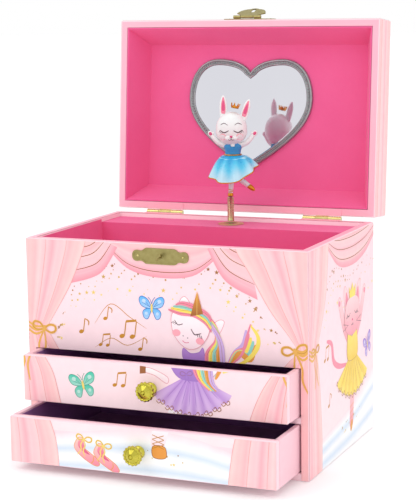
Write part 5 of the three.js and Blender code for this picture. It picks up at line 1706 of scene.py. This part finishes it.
def build_head(looks):
    """The head: a round face with full cheeks, two long ears with pink hollows, and painted features."""
    place = dancer_place(looks)
    radius = looks.head_radius
    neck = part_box("dancer_head")[0].z
    middle = Vector((looks.head_shift, 0, neck + radius + looks.head_rise))
    tall = radius * looks.head_stretch
    face_depth = radius * 0.92
    muzzle = radius * 0.78
    bm = bmesh.new()
    face = add_ball(bm, middle, (radius * 1.03, face_depth, tall), 40, 28)
    for vert in face:
        offset = vert.co - middle
        low = max(0.0, -offset.z / radius)
        offset.x *= 1 + 0.05 * math.sin(low * math.pi)
        vert.co = middle + offset
    for side in (-1, 1):
        add_ball(bm, middle + Vector((side * 1.9 * MM, -muzzle, -0.56 * radius)),
                 (2.6 * MM, 1.3 * MM, 1.9 * MM), 18, 12)
    for side in (-1, 1):
        frame_turn = ear_place(looks, middle, side)
        rings = []
        for along, wide in ((0.55, 1.9), (0.8, 2.3), (1.1, 2.6), (1.4, 2.75), (1.7, 2.5), (1.92, 1.9),
                            (2.1, 1.1), (2.2, 0.35)):
            rings.append([frame_turn @ Vector((wide * MM * math.cos(a), 0.42 * wide * MM * math.sin(a)
                                               + 0.9 * MM * (along - 1.3), radius * along))
                          for a in (math.tau * s / 20 for s in range(20))])
        loft(bm, rings)
    finish_piece("dancer_face", bm, "enamel", "dancer", ["dancer_head"], matrix=place)

    bm = bmesh.new()
    ink, _ = ink_layers(bm)

    def brush(faces, points, colour):
        verts = [bm.verts.new(p) for p in points]
        for vert in verts:
            vert[ink] = (*colour, 1)
        for corners in faces:
            bm.faces.new([verts[i] for i in corners])
    for side in (-1, 1):
        frame_turn = ear_place(looks, middle, side)
        outline = smooth_line([(0, 1.0), (1.35, 1.04), (1.65, 1.32), (1.4, 1.65), (0.7, 1.98), (0, 2.1),
                               (-0.7, 1.98), (-1.4, 1.65), (-1.65, 1.32), (-1.35, 1.04)], 4, closed=True)
        def ear_point(u, v):
            half = 2.75 * max(0.2, 1 - ((v - 1.35) / 1.0) ** 2)
            bulge = 0.42 * half * math.sqrt(max(0.05, 1 - (u / half) ** 2))
            return frame_turn @ Vector((u * MM, (-bulge - 0.10) * MM + 0.9 * MM * (v - 1.3), radius * v))
        centre_point = (0, 1.5)
        for shrink, nearer, colour in ((1.0, 0.0, INK["pink"]), (0.62, 0.05, INK["deep_pink"])):
            line = [(lerp(centre_point[0], u, shrink), lerp(centre_point[1], v, shrink)) for u,
                    v in outline]
            mid = [(lerp(centre_point[0], u, 0.5), lerp(centre_point[1], v, 0.5)) for u, v in line]
            points = [ear_point(u, v) for u, v in line + mid] + [ear_point(*centre_point)]
            points = [p - Vector((0, nearer * MM, 0)) for p in points]
            count = len(line)
            faces = [(i, (i + 1) % count, count + (i + 1) % count, count + i) for i in range(count)]
            faces += [(count + i, count + (i + 1) % count, 2 * count) for i in range(count)]
            brush(faces, points, colour)

    features = Picture()
    for side, near in ((-1, 4.9), (1, 4.9)):
        features.stroke([(side * (near - 3.2), -0.6), (side * near, -1.9), (side * (near + 3.0), -0.5)],
                        0.75, INK["line"], taper=0.5)
        for share in (1.0, 2.0, 3.0):
            u = side * (near + share)
            v = -1.7 + 0.32 * share
            features.stroke([(u, v), (u + side * 0.7, v - 1.2)], 0.34, INK["line"], smooth=False)
        features.stroke([(side * (near - 2.6), 2.7), (side * near, 4.0), (side * (near + 2.6), 2.9)], 0.42,
                        INK["line"], taper=0.7)
        features.disc((side * 6.0, -4.7), 2.5, INK["cheek"], squash=0.85)
    for shape in features.shapes:
        places = []
        for u, v in shape["points"]:
            x, z = u * MM, v * MM * looks.head_stretch
            inside = max(0.02, 1 - (x / (radius * 1.06)) ** 2 - (z / tall) ** 2)
            out = face_depth * math.sqrt(inside) + (0.12 + 0.03 * shape["level"]) * MM
            places.append(middle + Vector((x, -out, z)))
        brush(shape["faces"], places, shape["inks"][0])
    nose = middle + Vector((0, -muzzle - 1.25 * MM, -0.46 * radius))
    for vert in add_ball(bm, nose, (1.05 * MM, 0.7 * MM, 0.75 * MM), 14, 10):
        vert[ink] = (*INK["deep_pink"], 1)
    for side in (-1, 1):
        line = [Vector((side * u * MM, -muzzle - 1.36 * MM, v * MM)) + middle
                for u, v in smooth_line([(0, -5.6), (0.15, -6.9), (1.1, -7.5), (2.1, -6.9)], 4)]
        for vert in add_tube(bm, line, 0.16 * MM, 6):
            vert[ink] = (*INK["line"], 1)
    finish_piece("dancer_features", bm, "glaze", "dancer", matrix=place)


def build_crown(looks):
    """A small gilt crown: a band with seven points, each ending in a bead."""
    low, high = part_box("dancer_crown")
    place = dancer_place(looks)
    middle = Vector((looks.crown_shift, 0, low.z + looks.crown_rise))
    radius, height = (high.x - low.x) / 2 * 0.95, (high.z - low.z) * 0.85
    points, steps = 7, 70
    bm = bmesh.new()

    def top(angle):
        return height * (0.42 + 0.5 * (0.5 + 0.5 * math.cos(points * angle)) ** 1.6)
    rings = []
    for share, flare in ((0.0, 1.0), (0.5, 1.05), (1.0, 1.2)):
        rings.append([middle + Vector((radius * flare * math.cos(a), radius * flare * math.sin(a),
                                       top(a) * share))
                      for a in (math.tau * s / steps for s in range(steps))])
    inner = [[middle + Vector(((p - middle).x * 0.86, (p - middle).y * 0.86, (p - middle).z)) for p in ring]
             for ring in rings[::-1]]
    loft(bm, rings + inner, cap=False)
    first = [v for v in bm.verts if abs(v.co.z - middle.z) < 1e-7]
    bmesh.ops.convex_hull(bm, input=first, use_existing_faces=False)
    for index in range(points):
        a = math.tau * index / points
        tip = middle + Vector((radius * 1.2 * math.cos(a), radius * 1.2 * math.sin(a), height * 0.95))
        add_ball(bm, tip, (0.42 * MM, 0.42 * MM, 0.42 * MM), 10, 8)
    tilt = Matrix.Translation(middle) @ Matrix.Rotation(looks.crown_tilt, 4,
                                                        "Y") @ Matrix.Translation(-middle)
    finish_piece("dancer_tiara", bm, "gilt", "dancer", ["dancer_crown"], matrix=place @ tilt)


# ---------------------------------------------------------------------------------------------
# Studio
# ---------------------------------------------------------------------------------------------

def build_stage(looks):
    """A pale floor, an even white surround, three soft lights and the camera."""
    scene = bpy.context.scene
    bm = bmesh.new()
    bmesh.ops.create_grid(bm, x_segments=2, y_segments=2, size=looks.floor_size)
    mesh = bpy.data.meshes.new("studio_floor")
    bm.to_mesh(mesh)
    bm.free()
    floor = bpy.data.objects.new("studio_floor", mesh)
    scene.collection.objects.link(floor)
    material = new_material("studio white", paint(250, 250, 250), 0.7)
    shader = material.node_tree.nodes["Principled BSDF"]
    shader.inputs["Emission Color"].default_value = (1, 1, 1, 1)
    shader.inputs["Emission Strength"].default_value = looks.floor_glow
    vary_roughness(material, 0.66, 0.74, 5)
    mesh.materials.append(material)

    world = bpy.data.worlds.new("studio")
    scene.world = world
    world.use_nodes = True
    background = world.node_tree.nodes["Background"]
    background.inputs["Color"].default_value = (1.0, 1.0, 1.0, 1)
    background.inputs["Strength"].default_value = looks.surround
    target = Vector(looks.target)
    lights = (("key", (-0.75, -1.05, 1.35), 1.1, looks.key), ("fill", (1.3, -0.7, 0.8), 1.3, looks.fill),
              ("top", (0.1, 0.25, 1.7), 1.2, looks.top))
    for name, place, size, power in lights:
        lamp = bpy.data.lights.new("studio_" + name, "AREA")
        lamp.energy = power
        lamp.size = size
        lamp.shape = "DISK"
        lit = bpy.data.objects.new("studio_" + name, lamp)
        lit.location = place
        lit.rotation_euler = (target - Vector(place)).to_track_quat("-Z", "Y").to_euler()
        scene.collection.objects.link(lit)

    camera = bpy.data.cameras.new("studio_camera")
    camera.lens = looks.lens
    camera.sensor_width = looks.sensor
    viewer = bpy.data.objects.new("studio_camera", camera)
    turn = (Matrix.Rotation(looks.camera_turn, 4, "Z") @ Matrix.Rotation(math.pi / 2 - looks.camera_dip, 4,
                                                                         "X")
            @ Matrix.Rotation(looks.camera_roll, 4, "Z"))
    viewer.matrix_world = Matrix.Translation(looks.camera_place) @ turn
    scene.collection.objects.link(viewer)
    scene.camera = viewer
    scene.view_settings.view_transform = "Standard"


# ---------------------------------------------------------------------------------------------
# Add-on: the looks that can be set, one operator for each piece, and the panel
# ---------------------------------------------------------------------------------------------

def length_setting(title, about, value):
    """A setting in metres."""
    return FloatProperty(name=title, description=about, default=value, unit="LENGTH")


def angle_setting(title, about, value):
    """A setting in radians, shown in degrees."""
    return FloatProperty(name=title, description=about, default=value, subtype="ANGLE")


def plain_setting(title, about, value):
    """A setting with no unit, or with the unit that its description gives."""
    return FloatProperty(name=title, description=about, default=value)


class BoxLooks(bpy.types.PropertyGroup):
    """Fine sizes of the box that the CAD frame doesn't hold."""
    edge_radius: length_setting("Edge radius", "Rounding of the wrapped board edges", 0.0009)
    paper_thickness: length_setting("Paper thickness", "Thickness of pasted paper", 0.00008)
    arbor_gap: length_setting("Arbor gap", "Space round the winding arbor in the back board", 0.0009)
    lining: length_setting("Lining", "Thickness of the drawers' lining", 0.0004)
    lining_drop: length_setting("Lining drop", "How far the lining ends below the drawer's rim", 0.0012)
    flutes: IntProperty(name="Flutes", description="Flutes round a knob's edge", default=16)
    frame_band: length_setting("Frame band", "Width of the heart frame's band", 0.0046)
    bead_spacing: length_setting("Bead spacing", "Distance between beads of the heart frame", 0.0019)
    glass_bevel: length_setting("Glass bevel", "Width of the mirror's bevel", 0.0004)
    glass_drop: length_setting("Glass drop", "Depth of the mirror's bevel", 0.0001)
    plate_rim: length_setting("Plate rim", "Width of the raised rim of the catch plate", 0.0012)
    knuckle: length_setting("Knuckle", "Reach of a hinge's knuckle from its pin", 0.0021)
    brad: length_setting("Brad", "Radius of a brad's head", 0.0008)
    deck_hole: length_setting("Deck hole", "Radius of the hole in the escutcheon", 0.0045)
    wire: length_setting("Spring wire", "Thickness of the stem spring's wire", 0.0006)


class DancerLooks(bpy.types.PropertyGroup):
    """Sizes and attitude of the dancer."""
    turned: angle_setting("Turned", "How far round the dancer has stopped", math.radians(20))
    skirt_tilt: angle_setting("Skirt tilt", "How far the skirt is tipped up at one side", math.radians(11))
    skirt_lift: length_setting("Skirt lift", "How far the hem rises at both sides", 0.0070)
    skirt_shift: length_setting("Skirt shift", "The body's distance to the side of the stem", 0.0020)
    skirt_radius: length_setting("Skirt radius", "Radius of the hem", 0.0171)
    skirt_drop: length_setting("Skirt drop", "Height of the skirt", 0.0182)
    waist_radius: length_setting("Waist radius", "Radius of the waist", 0.0056)
    cloth_thickness: length_setting("Cloth thickness", "Thickness of the moulded skirt", 0.0009)
    trim_radius: length_setting("Trim radius", "Radius of the gold edging", 0.00042)
    head_radius: length_setting("Head radius", "Radius of the head", 0.0107)
    head_shift: length_setting("Head shift", "The head's distance to the side of the stem", 0.0012)
    rise: length_setting("Rise", "How far the body stands above its solid", 0.0021)
    head_rise: length_setting("Head rise", "How far the head's middle is raised", 0.0003)
    head_stretch: plain_setting("Head stretch", "Height of the head over its width", 1.12)
    head_lean: angle_setting("Head lean", "Lean of both ears", 0.16)
    ear_splay: angle_setting("Ear splay", "Lean of each ear outward", 0.16)
    ear_apart: length_setting("Ear apart", "Distance of each ear from the middle", 0.0056)
    crown_rise: length_setting("Crown rise", "How far the crown stands above its solid", 0.0041)
    crown_shift: length_setting("Crown shift", "The crown's distance to the side of the stem", 0.0037)
    crown_tilt: angle_setting("Crown tilt", "Lean of the crown", 0.2)


class StageLooks(bpy.types.PropertyGroup):
    """The studio: floor, light and camera."""
    floor_size: length_setting("Floor size", "Half the floor's side", 12)
    floor_glow: plain_setting("Floor glow", "Light given off by the floor, as a light table does", 0.08)
    surround: plain_setting("Surround", "Strength of the white surround", 1.0)
    key: plain_setting("Key light", "Power in watts", 4)
    fill: plain_setting("Fill light", "Power in watts", 1.5)
    top: plain_setting("Top light", "Power in watts", 2)
    target: FloatVectorProperty(name="Target", description="What the lights look at", default=(0, 0, 0.13),
                                subtype="TRANSLATION", unit="LENGTH")
    lens: plain_setting("Lens", "Focal length in millimetres", 113.5)
    sensor: plain_setting("Sensor", "Width of the sensor in millimetres", 36)
    camera_place: FloatVectorProperty(name="Camera place", description="Where the camera stands",
                                      default=(0.41887, -0.98444, 0.30365), subtype="TRANSLATION",
                                      unit="LENGTH")
    camera_turn: angle_setting("Camera turn", "Turn about the vertical", math.radians(22.9))
    camera_dip: angle_setting("Camera dip", "How far the camera looks down", math.radians(9.0))
    camera_roll: angle_setting("Camera roll", "Turn about the line of sight", math.radians(-0.83))


class BOX_OT_finishes(bpy.types.Operator):
    """Makes the finishes that every piece shares."""
    bl_idname = "jewellery_box.finishes"
    bl_label = "Finishes"

    def execute(self, context):
        make_finishes()
        return {"FINISHED"}


class BOX_OT_case(bpy.types.Operator):
    """Builds the wrapped case and its rims."""
    bl_idname = "jewellery_box.case"
    bl_label = "Case"

    def execute(self, context):
        build_case_shell(context.scene.box_looks)
        build_rims(context.scene.box_looks)
        return {"FINISHED"}


class BOX_OT_lid(bpy.types.Operator):
    """Builds the wrapped lid and its rims."""
    bl_idname = "jewellery_box.lid"
    bl_label = "Lid"

    def execute(self, context):
        build_lid_shell(context.scene.box_looks)
        return {"FINISHED"}


class BOX_OT_drawers(bpy.types.Operator):
    """Builds both drawers with their linings and knobs."""
    bl_idname = "jewellery_box.drawers"
    bl_label = "Drawers"

    def execute(self, context):
        for name in ("upper", "lower"):
            build_drawer(context.scene.box_looks, name)
            build_knob(context.scene.box_looks, name)
        return {"FINISHED"}


class BOX_OT_mirror(bpy.types.Operator):
    """Builds the heart mirror and its beaded frame."""
    bl_idname = "jewellery_box.mirror"
    bl_label = "Mirror"

    def execute(self, context):
        build_mirror(context.scene.box_looks)
        return {"FINISHED"}


class BOX_OT_fittings(bpy.types.Operator):
    """Builds the hinges, the catch and the hasp."""
    bl_idname = "jewellery_box.fittings"
    bl_label = "Fittings"

    def execute(self, context):
        for side in ("left", "right"):
            build_hinge(context.scene.box_looks, side)
        build_catch(context.scene.box_looks)
        build_hasp(context.scene.box_looks)
        return {"FINISHED"}


class BOX_OT_movement(bpy.types.Operator):
    """Finishes the movement and builds the escutcheon and the stem's spring."""
    bl_idname = "jewellery_box.movement"
    bl_label = "Movement"

    def execute(self, context):
        build_movement(context.scene.box_looks)
        return {"FINISHED"}


class BOX_OT_pictures(bpy.types.Operator):
    """Lays the printed pictures on the panels."""
    bl_idname = "jewellery_box.pictures"
    bl_label = "Pictures"

    def execute(self, context):
        build_pictures(context.scene.box_looks)
        return {"FINISHED"}


class BOX_OT_dancer(bpy.types.Operator):
    """Builds the rabbit dancer."""
    bl_idname = "jewellery_box.dancer"
    bl_label = "Dancer"

    def execute(self, context):
        looks = context.scene.dancer_looks
        build_legs(looks)
        build_skirt(looks)
        build_torso(looks)
        build_head(looks)
        build_crown(looks)
        return {"FINISHED"}


class BOX_OT_stage(bpy.types.Operator):
    """Sets up the floor, the lights and the camera."""
    bl_idname = "jewellery_box.stage"
    bl_label = "Stage"

    def execute(self, context):
        build_stage(context.scene.stage_looks)
        return {"FINISHED"}


STEPS = (BOX_OT_finishes, BOX_OT_case, BOX_OT_lid, BOX_OT_drawers, BOX_OT_mirror, BOX_OT_fittings,
         BOX_OT_movement, BOX_OT_pictures, BOX_OT_dancer, BOX_OT_stage)
LOOKS = (("box_looks", BoxLooks), ("dancer_looks", DancerLooks), ("stage_looks", StageLooks))


class BOX_PT_panel(bpy.types.Panel):
    """Every looks setting and every step, in the sidebar."""
    bl_label = "Jewellery Box"
    bl_idname = "BOX_PT_panel"
    bl_space_type = "VIEW_3D"
    bl_region_type = "UI"
    bl_category = "Jewellery Box"

    def draw(self, context):
        for name, group in LOOKS:
            box = self.layout.box()
            for setting in group.__annotations__:
                box.prop(getattr(context.scene, name), setting)
        for step in STEPS:
            self.layout.operator(step.bl_idname)


def register():
    for kind in [group for _, group in LOOKS] + list(STEPS) + [BOX_PT_panel]:
        bpy.utils.register_class(kind)
    for name, group in LOOKS:
        setattr(bpy.types.Scene, name, PointerProperty(type=group))


def unregister():
    for name, _ in LOOKS:
        delattr(bpy.types.Scene, name)
    for kind in [BOX_PT_panel] + list(STEPS)[::-1] + [group for _, group in LOOKS]:
        bpy.utils.unregister_class(kind)


def main():
    """Registers the add-on and runs its steps in order."""
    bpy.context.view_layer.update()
    register()
    for step in STEPS:
        category, name = step.bl_idname.split(".")
        getattr(getattr(bpy.ops, category), name)()


if __name__ == "__main__":
    main()
